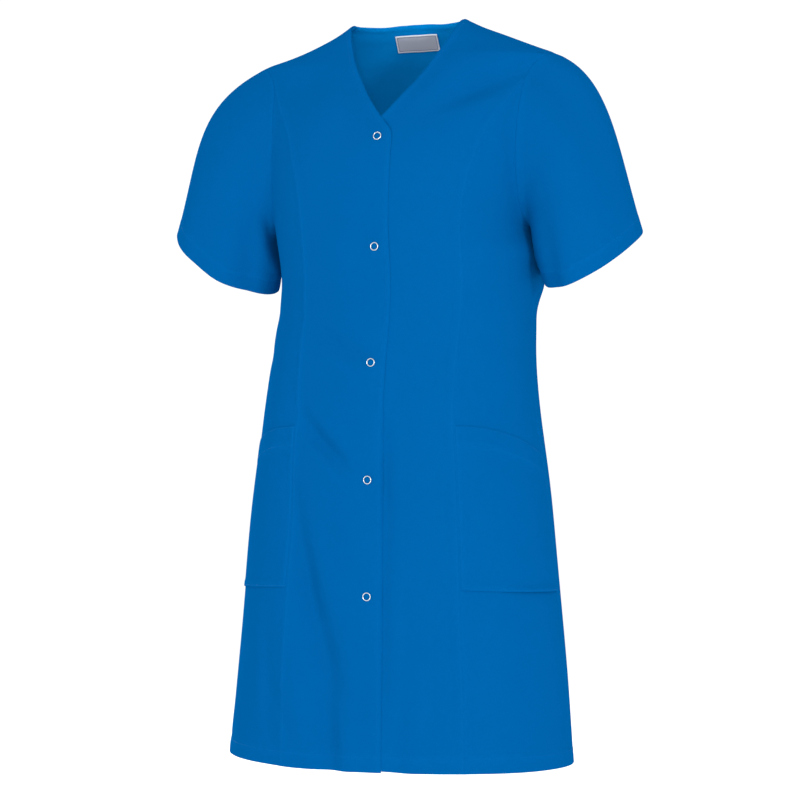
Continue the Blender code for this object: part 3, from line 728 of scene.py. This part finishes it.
def weave_map(obj, points):
    """A UV map named weave that follows the cloth, in metres."""
    coordinates = np.stack([arc_lengths(points, 1), arc_lengths(points, 0)], axis=-1).reshape(-1, 2)
    coordinates = np.concatenate([coordinates, coordinates])
    layer = obj.data.uv_layers.new(name="weave")
    corner = np.zeros(len(obj.data.loops), dtype=np.int32)
    obj.data.loops.foreach_get("vertex_index", corner)
    layer.data.foreach_set("uv", coordinates[corner].astype(np.float32).ravel())


Shell = namedtuple("Shell", "points normals outer inner sewn")


def make_shell(name, shell, materials, slot="cloth", closed=False, flip=False):
    """A thin shell from its middle points and its outer and inner offsets, with a material for each side."""
    outer = shell.points + shell.normals * shell.outer[..., None]
    inner = shell.points + shell.normals * shell.inner[..., None]
    rows, columns = shell.points.shape[:2]
    vertices = np.concatenate([outer.reshape(-1, 3), inner.reshape(-1, 3)])
    faces = np.concatenate([
        grid_faces(rows, columns, closed, 0, flip),
        grid_faces(rows, columns, closed, rows * columns, not flip),
        rim_faces(rows, columns, closed, flip),
    ])
    obj = make_object(name, vertices, faces, materials[0])
    obj.data.materials.append(materials[1])
    side_faces = (rows - 1) * (columns if closed else columns - 1)
    which = np.zeros(len(faces), dtype=np.int32)
    which[side_faces:2 * side_faces] = 1
    obj.data.polygons.foreach_set("material_index", which)
    weave_map(obj, shell.points)
    point_attribute(obj, "sewn", shell.sewn)
    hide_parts(name)
    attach(obj, "root")
    return obj


# ---- reliefs across a piece's edges

def rounded(distance, size):
    """Share of the full thickness at a distance from a folded edge."""
    inside = np.clip(1 - distance / size, 0.0, 1.0)
    return np.sqrt(np.maximum(1 - inside ** 2, ROLL_LEAST))


def band(distance, width, rise):
    """A turned or doubled strip along an edge."""
    return rise * ease((width + BAND_FOOT - distance) / BAND_SLOPE)


def stitched(distance, place):
    """A line of stitches pulls the cloth in."""
    return -STITCH_PULL * bell(distance - place, STITCH_SPREAD)


class Relief:
    """Offsets of a piece's two sides from its middle, and how near each point is to sewing."""

    def __init__(self, share, inner_share=None):
        self.share = share
        self.outer = HALF_CLOTH * share
        self.inner = -HALF_CLOTH * (share if inner_share is None else inner_share)
        self.sewn = np.zeros_like(share)

    def near(self, distance, place):
        self.sewn = np.maximum(self.sewn, bell(distance - place, PUCKER_REACH))

    def seam(self, distance, place=SEAM_PUCKER):
        """A seam stands out as a low, soft welt, and its allowances stand out inside."""
        self.outer = self.outer + WELT_RISE * bell(distance, WELT_WIDTH)
        self.inner = self.inner - ALLOWANCE_RISE * bell(distance, ALLOWANCE_WIDTH)
        self.near(distance, place)

    def stitches(self, distance, place):
        self.outer = self.outer + stitched(distance, place)
        self.near(distance, place)

    def hem(self, distance, width, shown=1.0):
        """The outside of a turned hem."""
        self.stitches(distance, width)
        self.raised(distance, width, BAND_RISE, shown)

    def raised(self, distance, width, rise, shown=1.0):
        self.outer = self.outer + band(distance, width, rise) * self.share * shown

    def inside(self, depth):
        self.inner = self.inner - depth * self.share

    def shell(self, points, normals):
        return Shell(points, normals, self.outer, self.inner, self.sewn)


# ---- sewing

def line_at(shell, distance, value, down=False, backwards=False, rows=slice(None)):
    """The line outside a shell where a distance from its rows' or columns' start or end reaches a value."""
    outside = shell.points + shell.normals * shell.outer[..., None]
    parts = [part[rows] for part in (outside, shell.normals, distance)]
    if down:
        parts = [np.swapaxes(part, 0, 1) for part in parts]
    if backwards:
        parts = [part[:, ::-1] for part in parts]
    places, normals, distance = parts
    line, directions = [], []
    for i, row in enumerate(distance):
        passed = np.nonzero((row[:-1] < value) & (row[1:] >= value))[0]
        if len(passed):
            j = passed[0]
            t = (value - row[j]) / (row[j + 1] - row[j])
            line.append(mix(places[i, j], places[i, j + 1], t))
            directions.append(mix(normals[i, j], normals[i, j + 1], t))
    return np.array(line), np.array(directions)


def stitch_run(line, directions):
    """Vertices and faces of a row of short threads along a line that lies on the cloth."""
    lengths = np.concatenate([[0.0], np.cumsum(np.linalg.norm(np.diff(line, axis=0), axis=1))])
    count = int(lengths[-1] / STITCH_PITCH)
    if count < 1:
        return np.zeros((0, 3)), np.zeros((0, 4), dtype=int)
    middles = (np.arange(count) + 0.5) * STITCH_PITCH

    def at(places, values):
        return np.stack([np.interp(places, lengths, values[:, k]) for k in range(3)], axis=-1)

    along = unit(at(middles + STITCH_LENGTH / 2, line) - at(middles - STITCH_LENGTH / 2, line))
    out = at(middles, directions)
    out = unit(out - along * (out * along).sum(-1, keepdims=True))
    frames = (at(middles, line), along, out, np.cross(along, out))
    centre, along, out, across = (part[:, None] for part in frames)
    turns = (np.arange(STITCH_SIDES) * 2 * pi / STITCH_SIDES)[:, None]
    rings = []
    for place, size in STITCH_RINGS:
        ring = (across * np.cos(turns) * THREAD_SQUASH + out * np.sin(turns)) * size
        sunk = ring - out * (1.4 - size) * 0.9
        rings.append(centre + along * place * STITCH_LENGTH + sunk * THREAD_RADIUS)
    vertices = np.concatenate(rings, axis=1)
    faces = grid_faces(len(STITCH_RINGS), STITCH_SIDES, True, 0, False)
    faces = faces[None] + np.arange(count)[:, None, None] * vertices.shape[1]
    return vertices.reshape(-1, 3), faces.reshape(-1, 4)


def sew(name, lines, material):
    """Joins a piece's rows of stitches into one mesh."""
    vertices, faces, count = [], [], 0
    for line, directions in lines:
        if len(line) > 1:
            some, joined = stitch_run(line, directions)
            vertices.append(some)
            faces.append(joined + count)
            count += len(some)
    obj = make_object(name, np.concatenate(vertices), np.concatenate(faces), material)
    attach(obj, "root")


def declare(shell):
    """Works out the size of a cloth piece's cut, measured along its middle surface; nothing uses it."""
    widths = arc_lengths(shell.points, 1)[:, -1]
    lengths = arc_lengths(shell.points, 0)[-1]
    along_u = np.diff(shell.points, axis=1)[:-1]
    along_v = np.diff(shell.points, axis=0)[:, :-1]


def cloth_piece(name, shell, cloth, thread, lines, **form):
    obj = make_shell(name, shell, cloth, **form)
    sew(name + "_stitches", lines, thread)
    declare(shell)


# ---- body panels

Panel = namedtuple("Panel", "angles tall points normals first last hem")


def body_panel(side, heights, start, end, start_steps=SEAM_STEPS):
    """A panel's points and normals, with their distances to its first and last edge and to the hem."""
    angles = panel_angles(heights, start, end, start_steps)
    if side:
        angles = side * angles
    tall = np.broadcast_to(heights[:, None], angles.shape)
    points, normals = skin_at(side, angles, tall)
    first = distances_to(points[:, 0], points)
    last = distances_to(points[:, -1], points)
    return Panel(angles, tall, points, normals, first, last, tall - HEM)


def front_centre(side, cloth, thread):
    heights = body_heights()
    panel = body_panel(side, heights, centre_edge_angle(heights), panel_seam_angle(heights), EDGE_STEPS)
    points, free, seam, hem = panel.points, panel.first, panel.last, panel.hem
    if side == 1:
        toward_centre = ease((UNDERLAP_REACH - points[..., 0]) / UNDERLAP_REACH)
        points[..., 2] += UNDERLAP_RISE * toward_centre * bell(hem, UNDERLAP_FADE)
    neck = ease((panel.tall - SNAP_HEIGHTS[0] - CLOSING_ABOVE) / CLOSING_FADE)
    covered = band(free, FACING_WIDTH, 1.0) * (1 - neck)
    shown = 1 - covered * (side == 1)
    doubled = 1 - covered * (side == -1)
    pressed = mix(PRESSED, 1.0, rounded(free, NECK_ROLL))
    thinned = mix(EDGE_THIN, 1.0, ease(free / EDGE_SINK_WIDTH))
    inner_share = mix(pressed, thinned, (1 - neck) * (side == -1)) * rounded(hem, HEM_ROLL)
    relief = Relief(rounded(free, EDGE_ROLL) * rounded(hem, HEM_ROLL), inner_share)
    relief.seam(seam)
    relief.hem(hem, HEM_BAND, shown)
    relief.raised(free, NECK_BAND, BAND_RISE / 2, shown)
    relief.outer += stitched(free, NECK_STITCH)
    relief.near(free, NECK_PUCKER)
    below = panel.tall < PANEL_SEAM_TOP
    relief.outer += (band(seam, SEAM_BAND, BAND_RISE) + stitched(seam, SEAM_STITCH)) * below
    facing = band(free, FACING_WIDTH, FACING_INSIDE)
    relief.inside(np.maximum(band(hem, HEM_BAND, BAND_INSIDE), facing) * doubled)
    shell = relief.shell(points, panel.normals)
    cloth_piece(f"front_{SIDE_NAMES[side]}_centre", shell, cloth, thread, [
        line_at(shell, free, NECK_STITCH),
        line_at(shell, seam, SEAM_STITCH, backwards=True, rows=below[:, 0]),
        line_at(shell, hem, HEM_BAND, down=True),
    ], flip=side < 0)


def front_side(side, cloth, thread):
    heights = body_heights(PANEL_SEAM_TOP - SEAM_GAP)
    panel = body_panel(side, heights, panel_seam_angle(heights), outer_angle(heights, False))
    relief = Relief(rounded(panel.hem, HEM_ROLL))
    relief.seam(panel.first)
    relief.seam(panel.last)
    relief.outer += BAND_RISE * bell(panel.first, SEAM_FOOT)
    relief.hem(panel.hem, HEM_BAND)
    relief.inside(band(panel.hem, HEM_BAND, BAND_INSIDE))
    shell = relief.shell(panel.points, panel.normals)
    lines = [line_at(shell, panel.hem, HEM_BAND, down=True)]
    cloth_piece(f"front_{SIDE_NAMES[side]}_side", shell, cloth, thread, lines, flip=side < 0)


def back(cloth, thread):
    heights = body_heights()
    start = outer_angle(heights, True)
    panel = body_panel(0, heights, start, 2 * pi - start)
    hem = panel.hem
    side_seam = np.minimum(panel.first, panel.last)
    neck = distances_to(panel.points[-1], panel.points)
    darts = dart_depth(panel.angles, panel.tall)
    relief = Relief(rounded(hem, HEM_ROLL) * rounded(neck, NECK_ROLL))
    relief.seam(side_seam)
    relief.hem(hem, HEM_BAND)
    relief.stitches(neck, NECK_STITCH)
    relief.raised(neck, NECK_BAND, BAND_RISE / 2)
    shoulder = ease((panel.tall - SHOULDER_TIP) / SHOULDER_FADE)
    relief.outer += band(side_seam, SHOULDER_BAND, BAND_RISE) * shoulder - darts
    relief.inner -= darts
    relief.inside(np.maximum(band(hem, HEM_BAND, BAND_INSIDE), band(neck, NECK_BAND, BAND_INSIDE)))
    shell = relief.shell(panel.points, panel.normals)
    upper = heights > SHOULDER_TIP
    cloth_piece("back", shell, cloth, thread, [
        line_at(shell, hem, HEM_BAND, down=True),
        line_at(shell, neck, NECK_STITCH, down=True, backwards=True),
        line_at(shell, panel.first, SEAM_STITCH, rows=upper),
        line_at(shell, panel.last, SEAM_STITCH, backwards=True, rows=upper),
    ])


# ---- sleeves

def pulled(pull, turn):
    share = np.cos(turn)
    return np.where(share > 0, mix(pull.middle, pull.top, share), mix(pull.middle, pull.low, -share))[:, None]


def sleeve_turns():
    """Turns of a sleeve's columns, closer together beside the seam under the arm."""
    even = np.arange(SLEEVE_AROUND) * 2 * pi / SLEEVE_AROUND
    close = np.array(SEAM_STEPS[1:8]) / SLEEVE_RADIUS
    free = even[np.abs(even - pi) > close[-1] + 0.01]
    return np.sort(np.concatenate([free, [pi], pi - close, pi + close]))


def sleeve_curves(side_name, turns):
    """The four control points of each column, for the wearer's left side."""
    cuff = CUFFS[side_name]
    rise = radians(cuff.rise)
    tilt = radians(cuff.tilt)
    centre = np.array((cuff.reach, cuff.depth, cuff.height))
    across = np.array((cos(rise), 0, sin(rise))) * cuff.half_width
    forward = np.array((0, -cos(tilt), -sin(tilt))) * cuff.half_depth
    arm = np.array((sin(ARM_LEAN), 0, -cos(ARM_LEAN)))
    mirror = MIRRORS[side_name]
    points, normals = skin_at(0, armhole_angle(turns, turns > pi) * mirror[0], armhole_height(turns))
    loop = points * mirror
    step = np.roll(loop, -1, axis=0) - np.roll(loop, 1, axis=0)
    inward = unit(np.cross(step, normals * mirror))
    inward *= np.sign(((loop.mean(axis=0) - loop) * inward).sum(-1, keepdims=True))
    start = loop + inward * SLEEVE_OFFSET
    forward_share = np.copysign(np.abs(np.sin(turns)) ** CUFF_POINT, np.sin(turns))
    end = centre + across * np.cos(turns)[:, None] + forward * forward_share[:, None]
    end[:, 2] += cuff.under * bell(turns - pi, CUFF_UNDER_SPREAD)
    drop = -SLEEVE_DROP * np.maximum(np.cos(turns), -0.2)
    leave = unit(np.stack([np.ones_like(turns), np.zeros_like(turns), drop], axis=-1))
    first = start + leave * pulled(SLEEVE_START[side_name], turns)
    last = end - arm * pulled(SLEEVE_END, turns)
    return start, first, last, end


def along_curves(curves):
    """Points on each curve: at fixed distances from both ends, and evenly spread between them."""
    a, b, c, d = (part[None] for part in curves)
    t = np.linspace(0.0, 1.0, 160)[:, None, None]
    fine = a * (1 - t) ** 3 + b * 3 * t * (1 - t) ** 2 + c * 3 * t * t * (1 - t) + d * t ** 3
    running = arc_lengths(fine, 0)
    first = np.array(SEAM_STEPS)
    columns = []
    for k in range(fine.shape[1]):
        last = running[-1, k] - np.array(CUFF_STEPS)[::-1]
        middle = mix(first[-1], last[0], np.arange(1, SLEEVE_ALONG) / SLEEVE_ALONG)
        places = np.concatenate([first, middle, last])
        columns.append(np.stack([np.interp(places, running[:, k], fine[:, k, m]) for m in range(3)], axis=-1))
    return np.stack(columns, axis=1)


def sleeve_rise(side_name, turns, along):
    folds = creases(SLEEVE_FOLDS[side_name], turns, along, SLEEVE_RADIUS, SLEEVE_LENGTH)
    ripple = 0.0006 * np.sin(turns * 3 + 1.0) + 0.0004 * np.sin(turns * 5 + 2.0 + 3 * along)
    return (folds + ripple) * ease(along * 5)


def tube_normals(points):
    """Outward directions of a tube's points, from its neighbours."""
    round_it = np.roll(points, -1, axis=1) - np.roll(points, 1, axis=1)
    return unit(np.cross(round_it, np.gradient(points, axis=0)))


def sleeve(side_name, cloth, thread):
    turns = sleeve_turns()
    points = along_curves(sleeve_curves(side_name, turns))
    along = np.linspace(0.0, 1.0, len(points))[:, None]
    outward = unit(points - points.mean(axis=1, keepdims=True))
    points = points + outward * sleeve_rise(side_name, turns, along)[..., None]
    to_cuff = arc_lengths(points[::-1], 0)[::-1]
    to_armhole = arc_lengths(points, 0)
    relief = Relief(rounded(to_cuff, HEM_ROLL))
    relief.seam(to_armhole, ARMHOLE_PUCKER)
    relief.seam(np.abs(turns - pi) * SLEEVE_RADIUS + 0 * along)
    relief.hem(to_cuff, CUFF_BAND)
    relief.outer += band(to_armhole, ARMHOLE_BAND, BAND_RISE)
    relief.inside(band(to_cuff, CUFF_BAND, BAND_INSIDE))
    shell = relief.shell(points * MIRRORS[side_name], tube_normals(points) * MIRRORS[side_name])
    looped = Shell(*(closed_up(part) for part in shell))
    lines = [line_at(looped, closed_up(to_cuff), CUFF_BAND, down=True, backwards=True)]
    cloth_piece("sleeve_" + side_name, shell, cloth, thread, lines, closed=True, flip=side_name == "right")


# ---- pockets

def pocket_shares(size, count):
    """Shares from 0 to 1 with fixed distances at both ends."""
    ends = np.array(SEAM_STEPS) / size
    middle = mix(ends[-1], 1 - ends[-1], np.arange(1, count) / count)
    return np.concatenate([ends, middle, 1 - ends[::-1]])


def pocket(side, cloth, thread):
    share = pocket_shares(POCKET_WIDTH, POCKET_COLUMNS)[None]
    rise = pocket_shares(POCKET_TALL, POCKET_ROWS)[:, None]
    bottom = mix(POCKET_BOTTOM_INNER, POCKET_BOTTOM_OUTER, share)
    mouth = mix(POCKET_MOUTH_INNER, POCKET_MOUTH_OUTER, share ** POCKET_MOUTH_BEND)
    tall = mix(bottom, mouth, rise)
    seam = panel_seam_angle(tall)
    start = seam + POCKET_INSET / radius(seam, tall)
    end = pi / 2 - POCKET_INSET / radius(pi / 2, tall)
    points, normals = skin_at(side, side * mix(start, end, share), tall)
    across = np.minimum(share, 1 - share) * POCKET_WIDTH + 0 * rise
    to_bottom = tall - bottom
    to_mouth = mouth - tall
    gape = POCKET_GAPE * np.sin(pi * np.minimum(share + 0.12, 1.0)) * rise ** 1.5
    droop = POCKET_DROOP[side] * ease((share - 0.25) / 0.4) * bell(to_bottom, 0.007)
    lift = POCKET_LIFT * ease(across / 0.0045 + 0.2) * (1 - 0.35 * bell(to_mouth, 0.004))
    lift = lift + (gape + droop) * ease(across / 0.02)
    points = points + normals * lift[..., None]
    free = rounded(to_mouth, MOUTH_ROLL) * rounded(to_bottom, HEM_ROLL)
    relief = Relief(free * rounded(across, POCKET_ROLL))
    relief.hem(to_mouth, MOUTH_BAND)
    relief.stitches(to_bottom, SEAM_STITCH)
    relief.stitches(across, SEAM_STITCH)
    relief.raised(to_bottom, POCKET_BOTTOM_BAND, BAND_RISE)
    relief.outer += band(across, POCKET_SIDE_BAND, BAND_RISE / 2)
    shell = relief.shell(points, normals)
    cloth_piece("pocket_" + SIDE_NAMES[side], shell, cloth, thread, [
        line_at(shell, to_bottom, SEAM_STITCH, down=True),
        line_at(shell, to_mouth, MOUTH_BAND, down=True, backwards=True),
        line_at(shell, to_mouth, SEAM_STITCH, down=True, backwards=True),
        line_at(shell, across, SEAM_STITCH),
        line_at(shell, across, SEAM_STITCH, backwards=True),
    ], flip=side < 0)


# ---- label and snaps

def neck_label(material):
    share_up = np.linspace(0, 1, LABEL_ROWS)[:, None]
    shares = np.linspace(-1, 1, LABEL_COLUMNS)[None]
    tall = mix(LABEL_LOW, LABEL_TOP, share_up) + 0 * shares
    points, normals = skin_at(0, pi - angle_at(LABEL_SHIFT - shares * LABEL_WIDTH / 2, tall), tall)
    curl = LABEL_CURL * (1 - shares ** 4) * np.sin(pi * share_up)
    points = points - normals * (HALF_CLOTH + LABEL_HALF + LABEL_GAP + curl)[..., None]
    borders = (points[:, :1], points[:, -1:], points[:1], points[-1:])
    full = np.full_like(tall, LABEL_HALF)
    shell = Shell(points, normals, full, -full, 0 * full)
    obj = make_shell("neck_label", shell, (material, material), slot="label")
    edge = np.minimum.reduce([np.linalg.norm(points - line, axis=-1) for line in borders])
    point_attribute(obj, "edge", edge)
    declare(shell)


def ring_mesh():
    """A flat ring turned from its profile; it lies on the XY plane and faces +Z."""
    turns = np.arange(SNAP_SIDES) * 2 * pi / SNAP_SIDES
    radii, heights = np.array(RING_PROFILE).T[..., None]
    points = np.stack([radii * np.cos(turns), radii * np.sin(turns), heights + 0 * turns], axis=-1)
    index = closed_up(np.arange(radii.size * SNAP_SIDES).reshape(-1, SNAP_SIDES))
    following = np.roll(index, -1, axis=0)
    faces = np.stack([index[:, :-1], following[:, :-1], following[:, 1:], index[:, 1:]], axis=-1)
    return points.reshape(-1, 3), faces.reshape(-1, 4)


def on_front(vertices, height, side, facing):
    """Puts a mesh that faces +Z on a front's surface at the centre line."""
    places, normals = skin_at(side, np.array([0.0]), np.array([height]))
    normal = Vector(normals[0]) * facing
    turn = np.array(normal.to_track_quat("Z", "Y").to_matrix())
    return vertices @ turn.T + places[0] + np.array(normal) * (HALF_CLOTH + SNAP_GAP)


def snaps(metal, socket):
    vertices, faces = ring_mesh()
    for index, height in enumerate(SNAP_HEIGHTS, start=1):
        for kind, side, facing in (("snap_cap", -1, 1), ("snap_back", 1, -1)):
            name = f"{kind}_{index}"
            obj = make_object(name + "_ring", on_front(vertices, height, side, facing), faces, metal)
            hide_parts(name)
            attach(obj, "root")
        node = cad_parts[f"snap_socket_{index}"]
        node.data.materials.clear()
        node.data.materials.append(socket)


# ---- materials

class Nodes:
    """Short helpers to build a material's nodes."""

    def __init__(self, name):
        self.material = bpy.data.materials.new(name)
        self.material.use_nodes = True
        self.tree = self.material.node_tree
        self.shader = self.tree.nodes["Principled BSDF"]

    def add(self, kind, inputs=(), **settings):
        node = self.tree.nodes.new(kind)
        for key, value in settings.items():
            setattr(node, key, value)
        for key, value in dict(inputs).items():
            if isinstance(value, bpy.types.NodeSocket):
                self.tree.links.new(value, node.inputs[key])
            else:
                node.inputs[key].default_value = value
        return node

    def maths(self, operation, a, b=0.0, c=0.0):
        return self.add("ShaderNodeMath", {0: a, 1: b, 2: c}, operation=operation).outputs[0]

    def place(self):
        return self.add("ShaderNodeTexCoord").outputs["Object"]

    def noise(self, vector, scale, detail=2.0, roughness=0.5):
        inputs = {"Vector": vector, "Scale": scale, "Detail": detail, "Roughness": roughness}
        return self.add("ShaderNodeTexNoise", inputs).outputs["Fac"]

    def along(self, vector, direction):
        inputs = {0: vector, 1: direction}
        return self.add("ShaderNodeVectorMath", inputs, operation="DOT_PRODUCT").outputs["Value"]

    def vary(self, factor, amount, tone=1.0):
        """A tone made lighter and darker by a factor between 0 and 1."""
        return self.maths("MULTIPLY_ADD", self.maths("SUBTRACT", factor, 0.5), amount, tone)

    def tint(self, colour, tone):
        """Sets the shader's colour, scaled by a tone."""
        scaled = self.add("ShaderNodeVectorMath", {0: colour, "Scale": tone}, operation="SCALE")
        self.link(scaled.outputs[0], "Base Color")

    def bump(self, *layers):
        """Bumps of (height, distance, strength), one on the other."""
        normal = None
        for height, distance, strength in layers:
            inputs = {"Height": height, "Distance": distance, "Strength": strength}
            if normal is not None:
                inputs["Normal"] = normal
            normal = self.add("ShaderNodeBump", inputs).outputs["Normal"]
        self.link(normal, "Normal")

    def link(self, socket, name):
        self.tree.links.new(socket, self.shader.inputs[name])

    def finished(self, values):
        """Sets constants on the shader and gives the material."""
        for name, value in values.items():
            self.shader.inputs[name].default_value = value
        return self.material


def cloth_material(name, colour):
    """Fine twill: ribs and yarns that follow the cut, soft unevenness, and puckers beside the sewing."""
    nodes = Nodes(name)
    weave = nodes.add("ShaderNodeUVMap", uv_map="weave").outputs[0]
    place = nodes.place()
    across = 2 * pi / YARN_PITCH
    diagonal = nodes.maths("SINE", nodes.along(weave, (across / 3, across / 2, 0.0)))
    yarns = nodes.maths("SINE", nodes.along(weave, (across, 0.0, 0.0)))
    twill = nodes.maths("MULTIPLY_ADD", diagonal, 0.7, nodes.maths("MULTIPLY", yarns, 0.3))
    slub = nodes.noise(place, 420.0, 3.0, 0.6)
    cloud = nodes.noise(place, 16.0, 3.0, 0.55)
    sewn = nodes.add("ShaderNodeAttribute", attribute_name="sewn").outputs["Fac"]
    tone = nodes.maths("MULTIPLY_ADD", twill, TWILL_TONE, 1.0)
    tone = nodes.vary(slub, SLUB_TONE, tone)
    tone = nodes.vary(cloud, CLOUD_TONE, tone)
    nodes.tint(colour, nodes.maths("MULTIPLY_ADD", sewn, SEWN_TONE, tone))
    pucker = nodes.maths("MULTIPLY", nodes.noise(place, 95.0, 1.0, 0.4), sewn)
    soft = nodes.noise(place, 38.0, 2.0, 0.5)
    nodes.bump((soft, 0.0012, 0.35), (pucker, 0.0022, 0.6), (slub, 0.00012, 0.5), (twill, 0.00005, 0.5))
    return nodes.finished({
        "Roughness": 0.9,
        "Specular IOR Level": 0.0,
        "Sheen Weight": 0.08,
        "Sheen Roughness": 0.5,
        "Sheen Tint": (0.0, 0.35, 0.90, 1.0),
    })


def thread_material():
    nodes = Nodes("thread")
    twist = nodes.noise(nodes.place(), 2600.0, 1.0)
    nodes.tint(THREAD_COLOUR, nodes.vary(twist, 0.25))
    nodes.bump((twist, 0.0001, 0.4))
    return nodes.finished({
        "Roughness": 0.55,
        "Specular IOR Level": 0.2,
        "Specular Tint": (0.1, 0.5, 1.0, 1.0),
    })


def label_material():
    """Grey woven satin with a pale edge and a thin darker line inside it, otherwise bare."""
    nodes = Nodes("label")
    weave = nodes.add("ShaderNodeUVMap", uv_map="weave").outputs[0]
    edge = nodes.add("ShaderNodeAttribute", attribute_name="edge").outputs["Fac"]
    ramp = nodes.add("ShaderNodeValToRGB", {"Fac": nodes.maths("DIVIDE", edge, LABEL_REACH)})
    ramp.color_ramp.interpolation = "CONSTANT"
    ramp.color_ramp.elements[0].color = (*LABEL_EDGE_COLOUR, 1.0)
    ramp.color_ramp.elements[1].position = LABEL_EDGE / LABEL_REACH
    ramp.color_ramp.elements[1].color = (*LABEL_COLOUR, 1.0)
    for place, colour in zip(LABEL_LINE, (LABEL_LINE_COLOUR, LABEL_COLOUR)):
        ramp.color_ramp.elements.new(place / LABEL_REACH).color = (*colour, 1.0)
    nodes.link(ramp.outputs["Color"], "Base Color")
    wave = nodes.maths("SINE", nodes.along(weave, (0.0, 2 * pi / LABEL_PITCH, 0.0)))
    nodes.bump((wave, 0.00004, 0.5))
    return nodes.finished({"Roughness": 0.45, "Specular IOR Level": 0.35, "Sheen Weight": 0.1})


def metal_material(name, colour, grain, roughness, unevenness, depth=0.0):
    nodes = Nodes(name)
    marks = nodes.noise(nodes.place(), *grain)
    nodes.link(nodes.maths("MULTIPLY_ADD", marks, unevenness, roughness), "Roughness")
    if depth:
        nodes.bump((marks, depth, 0.3))
    return nodes.finished({"Base Color": (*colour, 1.0), "Metallic": 1.0})


# ---- stage

def floor():
    turns = np.arange(FLOOR_SIDES) * 2 * pi / FLOOR_SIDES
    corners = [FLOOR_RADIUS * np.cos(turns), FLOOR_RADIUS * np.sin(turns), FLOOR_HEIGHT + 0 * turns]
    material = Nodes("floor").finished(
        {"Base Color": (*FLOOR_COLOUR, 1.0), "Roughness": 0.9, "Specular IOR Level": 0.0})
    obj = make_object("floor", np.stack(corners, axis=-1), np.arange(FLOOR_SIDES)[None], material)


def placed(name, data, place, target):
    """Puts a light or a camera in the scene and points it at a target."""
    obj = bpy.data.objects.new(name, data)
    obj.location = place
    obj.rotation_euler = (Vector(target) - Vector(place)).to_track_quat("-Z", "Y").to_euler()
    bpy.context.scene.collection.objects.link(obj)
    return obj


def lights():
    world = bpy.data.worlds.new("studio")
    world.use_nodes = True
    background = world.node_tree.nodes["Background"]
    background.inputs["Color"].default_value = (1.0, 1.0, 1.0, 1.0)
    background.inputs["Strength"].default_value = WORLD_STRENGTH
    bpy.context.scene.world = world
    for lamp in LAMPS:
        light = bpy.data.lights.new(lamp.name, "AREA")
        light.shape = "DISK"
        light.size = lamp.size
        light.energy = lamp.energy
        placed(lamp.name, light, lamp.place, lamp.target)


def camera():
    data = bpy.data.cameras.new("camera")
    data.lens = CAMERA_LENS
    data.sensor_width = 36.0
    back_off = Vector((sin(CAMERA_TURN), -cos(CAMERA_TURN), 0.0)) * CAMERA_DISTANCE
    bpy.context.scene.camera = placed("camera", data, CAMERA_TARGET + back_off, CAMERA_TARGET)


# ---- the whole garment

def build():
    # The inner sides take the paler inside colour: painted light that lifts the shade inside the garment
    cloth = (cloth_material("cloth", CLOTH_COLOUR), cloth_material("cloth_inside_painted_light", INSIDE_PAINTED_LIGHT_COLOUR))
    thread = thread_material()
    for side in SIDE_NAMES:
        front_centre(side, cloth, thread)
        front_side(side, cloth, thread)
        pocket(side, cloth, thread)
    back(cloth, thread)
    for side_name in ("left", "right"):
        sleeve(side_name, cloth, thread)
    neck_label(label_material())
    metal = metal_material("snap_metal", METAL_COLOUR, (900.0, 3.0, 0.6), 0.16, 0.18, 0.00003)
    socket = metal_material("snap_socket", SOCKET_COLOUR, (700.0, 2.0, 0.5), 0.25, 0.2)
    snaps(metal, socket)


build()
floor()
lights()
camera()
bpy.context.scene.view_settings.view_transform = "Standard"
